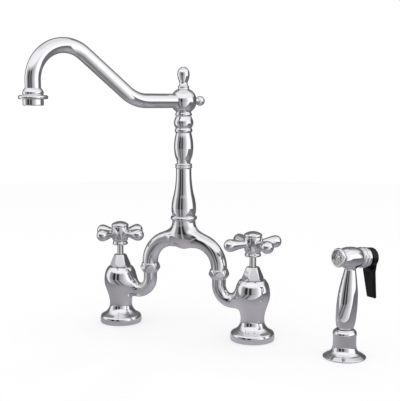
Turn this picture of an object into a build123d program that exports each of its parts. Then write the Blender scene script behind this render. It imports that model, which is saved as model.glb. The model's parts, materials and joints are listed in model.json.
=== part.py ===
"""Bridge kitchen faucet with side spray: two valves on an 8 inch spread, a yoke, a turned column,
a swivelling gooseneck spout and a lever spray in its own deck holder. Millimetres, +Z up.
The origin is on the deck, midway between the valve axes; -Y is the front."""

import os
from math import cos, radians, sin, sqrt, tan

from build123d import *

os.makedirs("parts", exist_ok=True)

# ---------------------------------------------------------------- driving dimensions
VALVE_X = 101.6  # valve axis from the middle, half of an 8 inch spread
UNION_X = 52.8  # union axis from the middle
SIDES = {"left": -1, "right": 1}
FIT = 0.05  # radial clearance of threads, spigots and shafts

# valve body
FLANGE_R = 28.9
FLANGE_EDGE_Z = 7.6
WAIST_R = 15.6
WAIST_Z = 27.0
BELLY_R = 22.9
BELLY_Z = 60.0
BODY_TOP_Z = 80.0
CHAMBER_R = 11.0
CHAMBER_Z = 40.0
SHOULDER_Z = 68.0
BONNET_THREAD_R = 12.4
ELBOW_R = 9.2
ELBOW_BORE_R = 6.5
ELBOW_Z = 48.0
ELBOW_BEND_R = 20.0
UNION_Z = 82.8

# below the deck
NECK_R = 13.1
THREAD_R = 12.6
NECK_LENGTH = 12.0
THREAD_END_Z = -46.0
INLET_R = 10.4
INLET_END_Z = -60.0
WATERWAY_R = 5.5
DECK_UNDERSIDE_Z = -29.5

# valve head
STEM_R = 4.4
STEM_SQUARE = 6.2
BONNET_TOP_Z = 97.0
CARTRIDGE_TOP_Z = 95.6
HUB_BOTTOM_Z = 110.6
HUB_TOP_Z = 136.5
HANDLE_TOP_Z = 143.8
ARM_Z = 127.6
ARM_BALL_R = 8.2
ARM_BALL_AT = 34.5
ARM_ANGLES = {"left": 78.0, "right": 55.0}

# bridge yoke and column
YOKE_R = 10.8
YOKE_BORE_R = 7.5
YOKE_BEND_R = 35.0
YOKE_Z = 125.5
YOKE_TOP_Z = 152.4
COLUMN_TOP_Z = 290.8
SWIVEL_BORE_R = 8.6
SPIGOT_R = 7.04
SPIGOT_END_Z = 258.5
BUSH_BORE_R = 7.1
BUSH_FLANGE = 0.8
DIVERTER_R = 9.0
DIVERTER_BOTTOM_Z = 160.0
DIVERTER_SEAT_Z = 197.0

# spout
HUB_Z = 311.5
HUB_R = 17.5
HUB_PAD = 17.6  # from the hub's centre up to the finial's seat
KNOB_AT = 27.0  # behind the hub's centre
KNOB_R = 6.5
FINIAL_TOP_Z = 356.2
SPOUT_YAW = radians(26.7)  # from the front towards the left valve
SPOUT_REACH = 216.0
SPOUT_R = 9.4
SPOUT_WALL = 1.3
SPOUT_SLOPE = radians(38.0)
SPOUT_FOOT = 75.2  # where the level run would meet the slope
SPOUT_FOOT_BEND_R = 48.0
SPOUT_HOOK_BEND_R = 42.0
SPOUT_END_Z = 318.0
AERATOR_Z = 305.6

# side spray
SPRAY_X = 232.1
SPRAY_Y = -19.0
SPRAY_YAW = radians(30.0)
SPRAY_LEAN = radians(5.4)
SPRAY_FLANGE_R = 26.4
HOLDER_R = 14.2
HOLDER_TOP_Z = 34.3
HOLDER_BORE_R = 9.7
BUSH_LIP = 1.0
HANDLE_END = 73.0  # top of the handle above the holder's mouth, along the handle
HEAD_AT = 87.6  # head axis above the holder's mouth, along the handle
PIVOT_BACK = 28.6  # lever pin behind the middle of the head
PIVOT_UP = 7.2
EAR_R = 2.2
PLUNGER_R = 2.5
PLUNGER_END = -31.5

# ---------------------------------------------------------------- places
Z_AXIS = Axis.Z
column_place = Plane(origin=(0, 0, 0), x_dir=(1, 0, 0), z_dir=(0, -1, 0))

spout_dir = Vector(-sin(SPOUT_YAW), -cos(SPOUT_YAW), 0)
spout_place = Plane(origin=(0, 0, HUB_Z), x_dir=spout_dir, z_dir=spout_dir.cross(Vector(0, 0, 1)))
spout_tip = spout_dir * SPOUT_REACH
tip_place = Plane(origin=(spout_tip.X, spout_tip.Y, 0), x_dir=(1, 0, 0), z_dir=(0, -1, 0))
tip_axis = Axis((spout_tip.X, spout_tip.Y, 0), (0, 0, 1))
hub_bore_axis = Axis((0, 0, HUB_Z), spout_dir)

spray_level = Vector(-sin(SPRAY_YAW), -cos(SPRAY_YAW), 0)
spray_fore = spray_level * cos(SPRAY_LEAN) + Vector(0, 0, 1) * sin(SPRAY_LEAN)
spray_up = Vector(0, 0, 1) * cos(SPRAY_LEAN) - spray_level * sin(SPRAY_LEAN)
spray_side = spray_fore.cross(spray_up)
mouth = Vector(SPRAY_X, SPRAY_Y, HOLDER_TOP_Z + BUSH_LIP)
head_centre = mouth + spray_up * HEAD_AT
holder_place = Plane(origin=(SPRAY_X, SPRAY_Y, 0), x_dir=(1, 0, 0), z_dir=(0, -1, 0))
holder_axis = Axis((SPRAY_X, SPRAY_Y, 0), (0, 0, 1))
handle_place = Plane(origin=mouth, x_dir=spray_fore, z_dir=spray_side)
handle_axis = Axis(mouth, spray_up)
head_place = Plane(origin=head_centre, x_dir=spray_fore, z_dir=spray_side)
head_axis = Axis(head_centre, spray_fore)


def valve_place(side):
    """The upright plane through a valve's axis: radius across, height up."""
    return Plane(origin=(side * VALVE_X, 0, 0), x_dir=(1, 0, 0), z_dir=(0, -1, 0))


def valve_axis(side):
    return Axis((side * VALVE_X, 0, 0), (0, 0, 1))


def level(x, y, z):
    """A level plane centred on a piece's upright axis."""
    return Plane(origin=(x, y, z), x_dir=(1, 0, 0), z_dir=(0, 0, 1))


def save(piece, name):
    piece.part.label = name
    export_step(piece.part, f"parts/{name}.step")


def save_group(pieces, name):
    """Identical pieces that share one node."""
    group = Compound(label=name, children=[piece.part for piece in pieces])
    export_step(group, f"parts/{name}.step")


def turned(place, axis, outline):
    """A solid of revolution from a closed outline of (radius or length, height) points."""
    with BuildPart() as piece:
        with BuildSketch(place):
            with BuildLine():
                Polyline(*outline, close=True)
            make_face()
        revolve(axis=axis)
    return piece


def ring(x, y, low, high, inner, outer, edge=0.0):
    """A flat ring about an upright axis, its outer edges eased."""
    with BuildPart() as piece:
        with BuildSketch(level(x, y, low)):
            Circle(outer)
            Circle(inner, mode=Mode.SUBTRACT)
        extrude(amount=high - low)
        if edge:
            rims = piece.edges().filter_by(GeomType.CIRCLE).group_by(lambda e: e.radius)[-1]
            chamfer(rims, edge)
    return piece


def o_ring(x, y, z, middle, cord):
    with BuildPart() as piece:
        with BuildSketch(Plane(origin=(x, y, z), x_dir=(1, 0, 0), z_dir=(0, -1, 0))):
            with Locations((middle, 0)):
                Circle(cord)
        revolve(axis=Axis((x, y, z), (0, 0, 1)))
    return piece


def lock_nut(x, y, top, height, across_flats, bore):
    """A hexagon nut with eased corners, its top face at the given height."""
    with BuildPart() as piece:
        with BuildSketch(level(x, y, top - height)):
            RegularPolygon(across_flats / 2, 6, major_radius=False)
            Circle(bore, mode=Mode.SUBTRACT)
        extrude(amount=height)
        corner = across_flats / 2 / cos(radians(30)) - 0.3
        flat = across_flats / 2 - 0.6
        place = Plane(origin=(x, y, top - height), x_dir=(1, 0, 0), z_dir=(0, -1, 0))
        with BuildSketch(place):
            with BuildLine():
                Polyline(
                    (0, 0),
                    (flat, 0),
                    (corner, 1.6),
                    (corner, height - 1.6),
                    (flat, height),
                    (0, height),
                    close=True,
                )
            make_face()
        revolve(axis=Axis((x, y, 0), (0, 0, 1)), mode=Mode.INTERSECT)
    return piece


def coil(start, direction, length, middle, wire, turns):
    """A compression spring: one round wire wound on a helix."""
    pitch = length / turns
    with BuildPart() as piece:
        with BuildLine() as winding:
            Helix(pitch, length, middle, center=start, direction=direction)
        with BuildSketch(Plane(origin=winding.line @ 0, z_dir=winding.line % 0)):
            Circle(wire)
        sweep(path=winding.line, is_frenet=True)
    return piece


# ---------------------------------------------------------------- valves
def make_valve_body(side):
    place = valve_place(side)
    axis = valve_axis(side)
    x = side * VALVE_X
    with BuildPart() as body:
        with BuildSketch(place):
            with BuildLine():
                flare = TangentArc((WAIST_R, WAIST_Z), (26.0, 11.5), tangent=(0, -1))
                rim = TangentArc(flare @ 1, (FLANGE_R, FLANGE_EDGE_Z), tangent=flare % 1)
                Polyline(rim @ 1, (FLANGE_R, 1.2), (FLANGE_R - 1.2, 0), (0, 0), (0, BODY_TOP_Z))
                urn = Spline(
                    (WAIST_R, WAIST_Z),
                    (16.4, 35.0),
                    (19.3, 45.0),
                    (22.2, 54.0),
                    (BELLY_R, BELLY_Z),
                    (22.3, 67.5),
                    (20.3, 74.5),
                    (17.6, BODY_TOP_Z - 1.0),
                    tangents=((0, 1), (-0.62, 0.78)),
                )
                Polyline(urn @ 1, (16.4, BODY_TOP_Z), (0, BODY_TOP_Z))
            make_face()
        revolve(axis=axis)
        with BuildLine() as route:
            inner = (x - side * 4, 0, ELBOW_Z)
            bend_in = (side * (UNION_X + ELBOW_BEND_R), 0, ELBOW_Z)
            bend_out = (side * UNION_X, 0, ELBOW_Z + ELBOW_BEND_R)
            Line(inner, bend_in)
            TangentArc(bend_in, bend_out, tangent=(-side, 0, 0))
            Line(bend_out, (side * UNION_X, 0, 81.0))
        with BuildSketch(Plane(origin=inner, z_dir=(-side, 0, 0))):
            Circle(ELBOW_R)
        sweep(path=route.line)
        junction = body.edges(Select.LAST).filter_by(
            lambda e: UNION_X + 24 < abs(e.center().X) < VALVE_X - 12 and e.bounding_box().size.Y > 4
        )
        fillet(junction, 6.0)
        with BuildSketch(level(side * UNION_X, 0, 79.7)):
            Circle(YOKE_R - 0.2)
        extrude(amount=1.3)
        with BuildSketch(Plane(origin=inner, z_dir=(-side, 0, 0))):
            Circle(ELBOW_BORE_R)
        sweep(path=route.line, mode=Mode.SUBTRACT)
        with BuildSketch(place):
            with BuildLine():
                Polyline(
                    (0, 0),
                    (INLET_R + FIT, 0),
                    (INLET_R + FIT, 18),
                    (WATERWAY_R, 18),
                    (WATERWAY_R, CHAMBER_Z),
                    (CHAMBER_R, CHAMBER_Z),
                    (CHAMBER_R, SHOULDER_Z),
                    (BONNET_THREAD_R, SHOULDER_Z),
                    (BONNET_THREAD_R, BODY_TOP_Z),
                    (0, BODY_TOP_Z),
                    close=True,
                )
            make_face()
        revolve(axis=axis, mode=Mode.SUBTRACT)
        with BuildSketch(level(x, 0, 0)):
            Circle(26.0)
            Circle(14.6, mode=Mode.SUBTRACT)
        extrude(amount=2.2, mode=Mode.SUBTRACT)
    return body


def make_shank(side):
    return turned(
        valve_place(side),
        valve_axis(side),
        [
            (6.0, INLET_END_Z),
            (INLET_R - 0.8, INLET_END_Z),
            (INLET_R, INLET_END_Z + 0.8),
            (INLET_R, THREAD_END_Z),
            (THREAD_R, THREAD_END_Z),
            (THREAD_R, -NECK_LENGTH),
            (NECK_R, -NECK_LENGTH),
            (NECK_R, 0),
            (INLET_R, 0),
            (INLET_R, 17.5),
            (6.0, 17.5),
        ],
    )


def make_bonnet(side):
    """Tapered six-sided nut, its corners rounded by a cone, with a threaded skirt below."""
    x = side * VALVE_X
    with BuildPart() as bonnet:
        with BuildSketch(level(x, 0, BODY_TOP_Z + 0.1)):
            RegularPolygon(13.6, 6, major_radius=False, rotation=30)
        with BuildSketch(level(x, 0, BONNET_TOP_Z)):
            RegularPolygon(7.7, 6, major_radius=False, rotation=30)
        loft()
        with BuildSketch(valve_place(side)):
            with BuildLine():
                Polyline(
                    (0, BODY_TOP_Z + 0.1),
                    (13.4, BODY_TOP_Z + 0.1),
                    (14.5, BODY_TOP_Z + 2.2),
                    (14.4, BODY_TOP_Z + 3.6),
                    (8.6, BONNET_TOP_Z - 0.4),
                    (8.0, BONNET_TOP_Z),
                    (0, BONNET_TOP_Z),
                    close=True,
                )
            make_face()
        revolve(axis=valve_axis(side), mode=Mode.INTERSECT)
        with BuildSketch(level(x, 0, SHOULDER_Z + 3.0)):
            Circle(BONNET_THREAD_R - FIT)
        extrude(amount=BODY_TOP_Z + 0.1 - SHOULDER_Z - 3.0)
        with BuildSketch(level(x, 0, SHOULDER_Z + 3.0)):
            Circle(9.5)
        extrude(amount=13.0, mode=Mode.SUBTRACT)
        with BuildSketch(level(x, 0, BODY_TOP_Z)):
            Circle(6.2 + FIT)
        extrude(amount=BONNET_TOP_Z - BODY_TOP_Z + 1, mode=Mode.SUBTRACT)
    return bonnet


def make_cartridge(side):
    """Brass housing of the disc valve: the discs below, the stem's long guide above."""
    x = side * VALVE_X
    with BuildPart() as housing:
        with BuildSketch(valve_place(side)):
            with BuildLine():
                Polyline(
                    (8.6, 41.0),
                    (10.8, 41.0),
                    (10.8, SHOULDER_Z + 0.05),
                    (BONNET_THREAD_R - 0.1, SHOULDER_Z + 0.05),
                    (BONNET_THREAD_R - 0.1, SHOULDER_Z + 2.9),
                    (6.2, SHOULDER_Z + 2.9),
                    (6.2, CARTRIDGE_TOP_Z),
                    (STEM_R + FIT, CARTRIDGE_TOP_Z),
                    (STEM_R + FIT, 58.0),
                    (8.6, 58.0),
                    close=True,
                )
            make_face()
        revolve(axis=valve_axis(side))
        with BuildSketch(Plane(origin=(x, 0, 53.0), z_dir=(1, 0, 0))):
            Rectangle(8.0, 6.0)
        extrude(amount=14, both=True, mode=Mode.SUBTRACT)
    return housing


def make_fixed_disc(side):
    x = side * VALVE_X
    with BuildPart() as disc:
        with BuildSketch(level(x, 0, 45.0)):
            Circle(8.5)
            with PolarLocations(4.6, 2, start_angle=90):
                Circle(2.6, mode=Mode.SUBTRACT)
        extrude(amount=3.5)
    return disc


def make_turning_disc(side):
    """It closes the fixed disc's ports at rest and has a slot for the stem's tongue on top."""
    x = side * VALVE_X
    with BuildPart() as disc:
        with BuildSketch(level(x, 0, 48.55)):
            Circle(8.4)
            with PolarLocations(8.4, 2, start_angle=0):
                Circle(3.8, mode=Mode.SUBTRACT)
        extrude(amount=4.0)
        with BuildSketch(level(x, 0, 51.0)):
            Rectangle(3.2, 11.2)
        extrude(amount=2.0, mode=Mode.SUBTRACT)
    return disc


def make_stem(side):
    x = side * VALVE_X
    with BuildPart() as stem:
        with BuildSketch(valve_place(side)):
            with BuildLine():
                Polyline(
                    (0, 52.65),
                    (8.2, 52.65),
                    (8.2, 57.9),
                    (STEM_R, 57.9),
                    (STEM_R, 85.0),
                    (3.4, 85.0),
                    (3.4, 86.6),
                    (STEM_R, 86.6),
                    (STEM_R, 111.6),
                    (0, 111.6),
                    close=True,
                )
            make_face()
        revolve(axis=valve_axis(side))
        with BuildSketch(level(x, 0, 51.1)):
            Rectangle(3.0, 11.0)
        extrude(amount=1.6)
        with BuildSketch(Plane(origin=(x, 0, 111.6), x_dir=arm_direction(side), z_dir=(0, 0, 1))):
            Rectangle(STEM_SQUARE, STEM_SQUARE)
        extrude(amount=13.9)
        with BuildSketch(level(x, 0, 112.0)):
            Circle(1.55)
        extrude(amount=14, mode=Mode.SUBTRACT)
    return stem


def arm_angle(side):
    return ARM_ANGLES["left" if side < 0 else "right"]


def arm_direction(side):
    angle = radians(arm_angle(side))
    return (cos(angle), sin(angle), 0)


def make_handle(side):
    """Cross handle: a round hub on a stepped foot, and four arms that swell to ball ends."""
    x = side * VALVE_X
    place = valve_place(side)
    with BuildPart() as handle:
        with BuildSketch(place):
            with BuildLine():
                Polyline(
                    (0, HUB_TOP_Z),
                    (0, HUB_BOTTOM_Z),
                    (9.8, HUB_BOTTOM_Z),
                    (10.7, HUB_BOTTOM_Z + 0.9),
                    (10.7, HUB_BOTTOM_Z + 3.0),
                    (9.9, HUB_BOTTOM_Z + 3.8),
                    (9.9, 116.8),
                    (11.0, 118.4),
                )
                swell = Spline(
                    (11.0, 118.4),
                    (12.0, 127.0),
                    (11.8, HUB_TOP_Z - 0.6),
                    tangents=((0.3, 1), (-0.1, 1)),
                )
                Polyline(swell @ 1, (11.2, HUB_TOP_Z), (0, HUB_TOP_Z))
            make_face()
        revolve(axis=valve_axis(side))
        for step in range(4):
            angle = radians(arm_angle(side) + 90 * step)
            outward = (cos(angle), sin(angle), 0)
            along = Plane(origin=(x, 0, ARM_Z), x_dir=outward, z_dir=(sin(angle), -cos(angle), 0))
            with BuildSketch(along):
                with BuildLine():
                    neck = Line((6.0, 5.0), (13.0, 4.9))
                    ball_top = (ARM_BALL_AT, ARM_BALL_R)
                    flank = Spline(neck @ 1, (24.0, 6.5), ball_top, tangents=((1, 0), (1, 0)))
                    RadiusArc(flank @ 1, (ARM_BALL_AT + ARM_BALL_R, 0), ARM_BALL_R)
                    Polyline((ARM_BALL_AT + ARM_BALL_R, 0), (6.0, 0), (6.0, 5.0))
                make_face()
            revolve(axis=Axis((x, 0, ARM_Z), outward))
        with BuildSketch(level(x, 0, HUB_BOTTOM_Z)):
            Circle(STEM_R + 0.1)
        extrude(amount=1.4, mode=Mode.SUBTRACT)
        with BuildSketch(Plane(origin=(x, 0, HUB_BOTTOM_Z), x_dir=outward, z_dir=(0, 0, 1))):
            Rectangle(STEM_SQUARE + 0.1, STEM_SQUARE + 0.1)
        extrude(amount=18, mode=Mode.SUBTRACT)
        with BuildSketch(level(x, 0, 127.0)):
            Circle(8.6)
        extrude(amount=10, mode=Mode.SUBTRACT)
    return handle


def make_handle_screw(side):
    return turned(
        valve_place(side),
        valve_axis(side),
        [(0, 114.5), (1.5, 114.5), (1.5, 127.0), (5.0, 127.0), (5.0, 129.2), (4.2, 130.0), (0, 130.0)],
    )


def make_handle_button(side):
    """Plain domed cap that covers the handle screw."""
    with BuildPart() as button:
        with BuildSketch(valve_place(side)):
            with BuildLine():
                crown = TangentArc((0, HANDLE_TOP_Z), (10.6, 140.6), tangent=(1, 0))
                rim = TangentArc(crown @ 1, (12.0, 138.6), tangent=crown % 1)
                Polyline(
                    rim @ 1,
                    (12.0, 137.1),
                    (11.4, HUB_TOP_Z),
                    (8.5, HUB_TOP_Z),
                    (8.5, 131.5),
                    (0, 131.5),
                    (0, HANDLE_TOP_Z),
                )
            make_face()
        revolve(axis=valve_axis(side))
    return button


def make_union_nut(side):
    """Hexagon nut between two cones, so that its six corners come to a V."""
    x = side * UNION_X
    half = 6.5
    bottom = UNION_Z - half
    place = Plane(origin=(x, 0, bottom), x_dir=(1, 0, 0), z_dir=(0, -1, 0))
    with BuildPart() as nut:
        with BuildSketch(level(x, 0, bottom)):
            RegularPolygon(12.4, 6, major_radius=False, rotation=30)
        extrude(amount=2 * half)
        with BuildSketch(place):
            with BuildLine():
                Polyline(
                    (0, 0),
                    (10.1, 0),
                    (13.9, half - 0.7),
                    (13.9, half + 0.7),
                    (11.7, 2 * half),
                    (0, 2 * half),
                    close=True,
                )
            make_face()
        revolve(axis=Axis((x, 0, 0), (0, 0, 1)), mode=Mode.INTERSECT)
        with BuildSketch(level(x, 0, bottom)):
            Circle(ELBOW_R + FIT)
        extrude(amount=2 * half, mode=Mode.SUBTRACT)
        with BuildSketch(level(x, 0, 79.6)):
            Circle(YOKE_R + FIT)
        extrude(amount=10, mode=Mode.SUBTRACT)
    return nut


gaskets = []
friction_washers = []
lock_nuts = []
union_nuts = []
union_washers = []
for name, side in SIDES.items():
    x = side * VALVE_X
    save(make_valve_body(side), f"{name}_valve_body")
    save(make_shank(side), f"{name}_shank")
    save(make_bonnet(side), f"{name}_bonnet")
    save(make_cartridge(side), f"{name}_cartridge")
    save(make_fixed_disc(side), f"{name}_fixed_disc")
    save(make_turning_disc(side), f"{name}_turning_disc")
    save(ring(x, 0, CHAMBER_Z + 0.05, 44.95, 5.6, 8.4), f"{name}_seat_seal")
    save(make_stem(side), f"{name}_stem")
    save(o_ring(x, 0, 85.8, 3.92, 0.5), f"{name}_stem_o_ring")
    save(make_handle(side), f"{name}_handle")
    save(make_handle_screw(side), f"{name}_handle_screw")
    save(make_handle_button(side), f"{name}_handle_button")
    gaskets.append(ring(x, 0, 0, 2.1, 14.8, 25.8))
    friction_washers.append(ring(x, 0, DECK_UNDERSIDE_Z - 2.4, DECK_UNDERSIDE_Z, 13.6, 21.0))
    lock_nuts.append(lock_nut(x, 0, DECK_UNDERSIDE_Z - 2.4, 10.0, 34.0, THREAD_R + FIT))
    union_nuts.append(make_union_nut(side))
    union_washers.append(ring(side * UNION_X, 0, 81.05, 82.55, 6.8, 10.5))
save_group(gaskets, "deck_gaskets")
save_group(friction_washers, "friction_washers")
save_group(lock_nuts, "lock_nuts")
save_group(union_nuts, "union_nuts")
save_group(union_washers, "union_washers")

# ---------------------------------------------------------------- bridge yoke
# level sections of the flared neck and its soft underside: height, half length, half width
NECK_SECTIONS = [
    (YOKE_TOP_Z, 15.6, 15.6),
    (147.0, 16.7, 15.4),
    (142.0, 19.6, 14.7),
    (137.5, 26.0, 13.6),
    (132.0, 29.0, 12.6),
    (125.0, 25.0, 12.0),
    (118.5, 16.5, 10.6),
    (114.3, 10.0, 7.6),
    (112.4, 5.5, 4.2),
]
with BuildPart() as yoke:
    with BuildLine() as yoke_route:
        leg_end = UNION_Z - 0.2
        arc_x = UNION_X - YOKE_BEND_R
        arc_z = YOKE_Z - YOKE_BEND_R
        Line((-UNION_X, 0, leg_end), (-UNION_X, 0, arc_z))
        TangentArc((-UNION_X, 0, arc_z), (-arc_x, 0, YOKE_Z), tangent=(0, 0, 1))
        Line((-arc_x, 0, YOKE_Z), (arc_x, 0, YOKE_Z))
        TangentArc((arc_x, 0, YOKE_Z), (UNION_X, 0, arc_z), tangent=(1, 0, 0))
        Line((UNION_X, 0, arc_z), (UNION_X, 0, leg_end))
    with BuildSketch(level(-UNION_X, 0, leg_end)):
        Circle(YOKE_R)
    sweep(path=yoke_route.line)
    for height, half_length, half_width in NECK_SECTIONS:
        with BuildSketch(Plane.XY.offset(height)):
            Ellipse(half_length, half_width)
    loft()
    with BuildSketch(level(-UNION_X, 0, leg_end)):
        Circle(YOKE_BORE_R)
    sweep(path=yoke_route.line, mode=Mode.SUBTRACT)
    with BuildSketch(Plane.XY.offset(YOKE_Z)):
        Circle(YOKE_BORE_R)
    extrude(amount=30, mode=Mode.SUBTRACT)
    with BuildSketch(Plane.XY.offset(138.2)):
        Circle(12.0 + FIT)
    extrude(amount=20, mode=Mode.SUBTRACT)
save(yoke, "bridge_yoke")
save(ring(0, 0, 138.25, 140.15, 8.0, 11.9), "column_washer")

# ---------------------------------------------------------------- column
with BuildPart() as column:
    with BuildSketch(column_place):
        with BuildLine():
            Polyline(
                (0, 140.2),
                (12.0, 140.2),
                (12.0, YOKE_TOP_Z + 0.05),
                (16.6, YOKE_TOP_Z + 0.05),
            )
            foot = ThreePointArc((16.6, YOKE_TOP_Z + 0.05), (17.9, 155.0), (16.6, 157.6))
            Line(foot @ 1, (15.2, 157.8))
            lower = Spline(
                (15.2, 157.8),
                (16.4, 163.0),
                (16.5, 171.0),
                (15.1, 180.5),
                (13.3, 188.0),
                (11.9, 195.5),
                (10.8, 205.0),
                (10.4, 214.0),
                (10.4, 221.8),
                tangents=((0.5, 1), (0, 1)),
            )
            Line(lower @ 1, (11.0, 222.2))
            bead_1 = ThreePointArc((11.0, 222.2), (11.5, 223.5), (11.0, 224.8))
            Line(bead_1 @ 1, (10.6, 225.1))
            Line((10.6, 225.1), (11.0, 225.4))
            bead_2 = ThreePointArc((11.0, 225.4), (11.5, 226.6), (11.0, 227.8))
            Line(bead_2 @ 1, (9.0, 228.4))
            upper = Spline(
                (9.0, 228.4),
                (9.5, 232.0),
                (11.7, 238.5),
                (12.9, 247.5),
                (12.7, 256.0),
                (11.4, 264.5),
                (10.3, 269.2),
                tangents=((0, 1), (-0.3, 1)),
            )
            Line(upper @ 1, (11.0, 269.8))
            bead_3 = ThreePointArc((11.0, 269.8), (11.8, 272.4), (11.0, 275.0))
            Line(bead_3 @ 1, (10.4, 275.6))
            ball = Spline(
                (10.4, 275.6),
                (12.4, 279.0),
                (13.0, 283.0),
                (12.1, 287.2),
                (10.5, COLUMN_TOP_Z),
                tangents=((1, 1), (-0.6, 1)),
            )
            Polyline(ball @ 1, (0, COLUMN_TOP_Z), (0, 140.2))
        make_face()
    revolve(axis=Z_AXIS)
    with BuildSketch(column_place):
        with BuildLine():
            Polyline(
                (0, 140.0),
                (7.0, 140.0),
                (7.0, DIVERTER_BOTTOM_Z),
                (DIVERTER_R, DIVERTER_BOTTOM_Z),
                (DIVERTER_R, DIVERTER_SEAT_Z),
                (6.0, DIVERTER_SEAT_Z),
                (6.0, 257.0),
                (SWIVEL_BORE_R, 257.0),
                (SWIVEL_BORE_R, COLUMN_TOP_Z + 1),
                (0, COLUMN_TOP_Z + 1),
                close=True,
            )
        make_face()
    revolve(axis=Z_AXIS, mode=Mode.SUBTRACT)
save(column, "column")

# the diverter shuts the spout off while the spray draws water
with BuildPart() as poppet:
    with BuildSketch(column_place):
        with BuildLine():
            Polyline(
                (0, DIVERTER_BOTTOM_Z + 0.1),
                (DIVERTER_R - 0.1, DIVERTER_BOTTOM_Z + 0.1),
                (DIVERTER_R - 0.1, 168.0),
                (3.0, 168.0),
                (3.0, 184.0),
                (5.6, 184.0),
                (5.6, 186.5),
                (3.6, 188.5),
                (0, 188.5),
                close=True,
            )
        make_face()
    revolve(axis=Z_AXIS)
    with BuildSketch(Plane.XY.offset(DIVERTER_BOTTOM_Z)):
        with PolarLocations(5.6, 4):
            Circle(1.8)
    extrude(amount=9, mode=Mode.SUBTRACT)
save(poppet, "diverter_poppet")
save(
    coil((0, 0, 169.0), (0, 0, 1), DIVERTER_SEAT_Z - 170.0, 7.7, 0.6, 7),
    "diverter_spring",
)

# ---------------------------------------------------------------- swivel
save(
    turned(
        column_place,
        Z_AXIS,
        [
            (BUSH_BORE_R, 262.0),
            (SWIVEL_BORE_R - FIT, 262.0),
            (SWIVEL_BORE_R - FIT, COLUMN_TOP_Z),
            (10.2, COLUMN_TOP_Z),
            (10.2, COLUMN_TOP_Z + BUSH_FLANGE),
            (BUSH_BORE_R, COLUMN_TOP_Z + BUSH_FLANGE),
        ],
    ),
    "swivel_bush",
)
save_group([o_ring(0, 0, z, 6.32, 0.7) for z in (269.0, 283.0)], "swivel_o_rings")
with BuildPart() as circlip:
    with BuildSketch(Plane.XY.offset(260.65)):
        Circle(8.2)
        Circle(6.25, mode=Mode.SUBTRACT)
        with Locations((0, 8)):
            Rectangle(3, 6, mode=Mode.SUBTRACT)
    extrude(amount=1.1)
save(circlip, "retaining_ring")

# ---------------------------------------------------------------- hub, finial and knob
hub_bottom = COLUMN_TOP_Z + BUSH_FLANGE + 0.1
with BuildPart() as hub:
    with BuildSketch(column_place):
        with BuildLine():
            Polyline(
                (0, SPIGOT_END_Z),
                (SPIGOT_R, SPIGOT_END_Z),
                (SPIGOT_R, 260.6),
                (6.2, 260.6),
                (6.2, 261.8),
                (SPIGOT_R, 261.8),
                (SPIGOT_R, 268.0),
                (5.6, 268.0),
                (5.6, 270.0),
                (SPIGOT_R, 270.0),
                (SPIGOT_R, 282.0),
                (5.6, 282.0),
                (5.6, 284.0),
                (SPIGOT_R, 284.0),
                (SPIGOT_R, hub_bottom),
                (10.6, hub_bottom),
            )
            lip = ThreePointArc((10.6, hub_bottom), (11.2, hub_bottom + 1.9), (10.6, hub_bottom + 3.8))
            Polyline(lip @ 1, (10.1, hub_bottom + 4.1), (10.1, HUB_Z), (0, HUB_Z), (0, SPIGOT_END_Z))
        make_face()
    revolve(axis=Z_AXIS)
    with Locations((0, 0, HUB_Z)):
        Sphere(HUB_R)
    with BuildSketch(Plane.XY.offset(HUB_Z)):
        Circle(7.4)
    extrude(amount=HUB_PAD)
    with BuildSketch(spout_place):
        with BuildLine():
            Polyline(
                (-9, 0),
                (-9, 8.0),
                (8, 8.0),
                (8, SPOUT_R + FIT),
                (20, SPOUT_R + FIT),
                (20, 0),
                close=True,
            )
        make_face()
    revolve(axis=hub_bore_axis, mode=Mode.SUBTRACT)
    with BuildSketch(spout_place):
        with BuildLine():
            Polyline((-9, 0), (-9, 2.6), (-16.9, 2.6), (-16.9, 8.0), (-20, 8.0), (-20, 0), close=True)
        make_face()
    revolve(axis=hub_bore_axis, mode=Mode.SUBTRACT)
    with BuildSketch(Plane.XY.offset(SPIGOT_END_Z)):
        Circle(4.6)
    extrude(amount=HUB_Z - SPIGOT_END_Z, mode=Mode.SUBTRACT)
    with BuildSketch(Plane.XY.offset(HUB_Z + 9.2)):
        Circle(3.0 + FIT)
    extrude(amount=12, mode=Mode.SUBTRACT)
save(hub, "hub")

with BuildPart() as finial:
    with BuildSketch(column_place):
        with BuildLine():
            foot_z = HUB_Z + HUB_PAD
            Polyline(
                (0, foot_z - 8),
                (3.0, foot_z - 8),
                (3.0, foot_z),
                (7.2, foot_z),
                (7.6, foot_z + 0.5),
                (7.6, foot_z + 1.3),
            )
            throat = Spline(
                (7.6, foot_z + 1.3),
                (6.2, 332.1),
                (5.4, 334.6),
                tangents=((-0.7, 0.7), (0, 1)),
            )
            egg = Spline(
                throat @ 1,
                (6.9, 339.2),
                (8.15, 345.2),
                (7.3, 351.2),
                (4.6, 354.8),
                (0, FINIAL_TOP_Z),
                tangents=((0, 1), (-1, 0)),
            )
            Line(egg @ 1, (0, foot_z - 8))
        make_face()
    revolve(axis=Z_AXIS)
save(finial, "finial")

with BuildPart() as knob:
    with BuildSketch(spout_place):
        with BuildLine():
            ball_start = -KNOB_AT + sqrt(KNOB_R**2 - 3.6**2)
            Polyline(
                (-KNOB_AT - KNOB_R, 0),
                (-10, 0),
                (-10, 2.5),
                (-16.95, 2.5),
                (-16.95, 4.6),
                (-18.2, 4.6),
                (-19.2, 3.6),
                (ball_start, 3.6),
            )
            TangentArc((-KNOB_AT - KNOB_R, 0), (ball_start, 3.6), tangent=(0, 1))
        make_face()
    revolve(axis=hub_bore_axis)
save(knob, "rear_knob")

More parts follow.
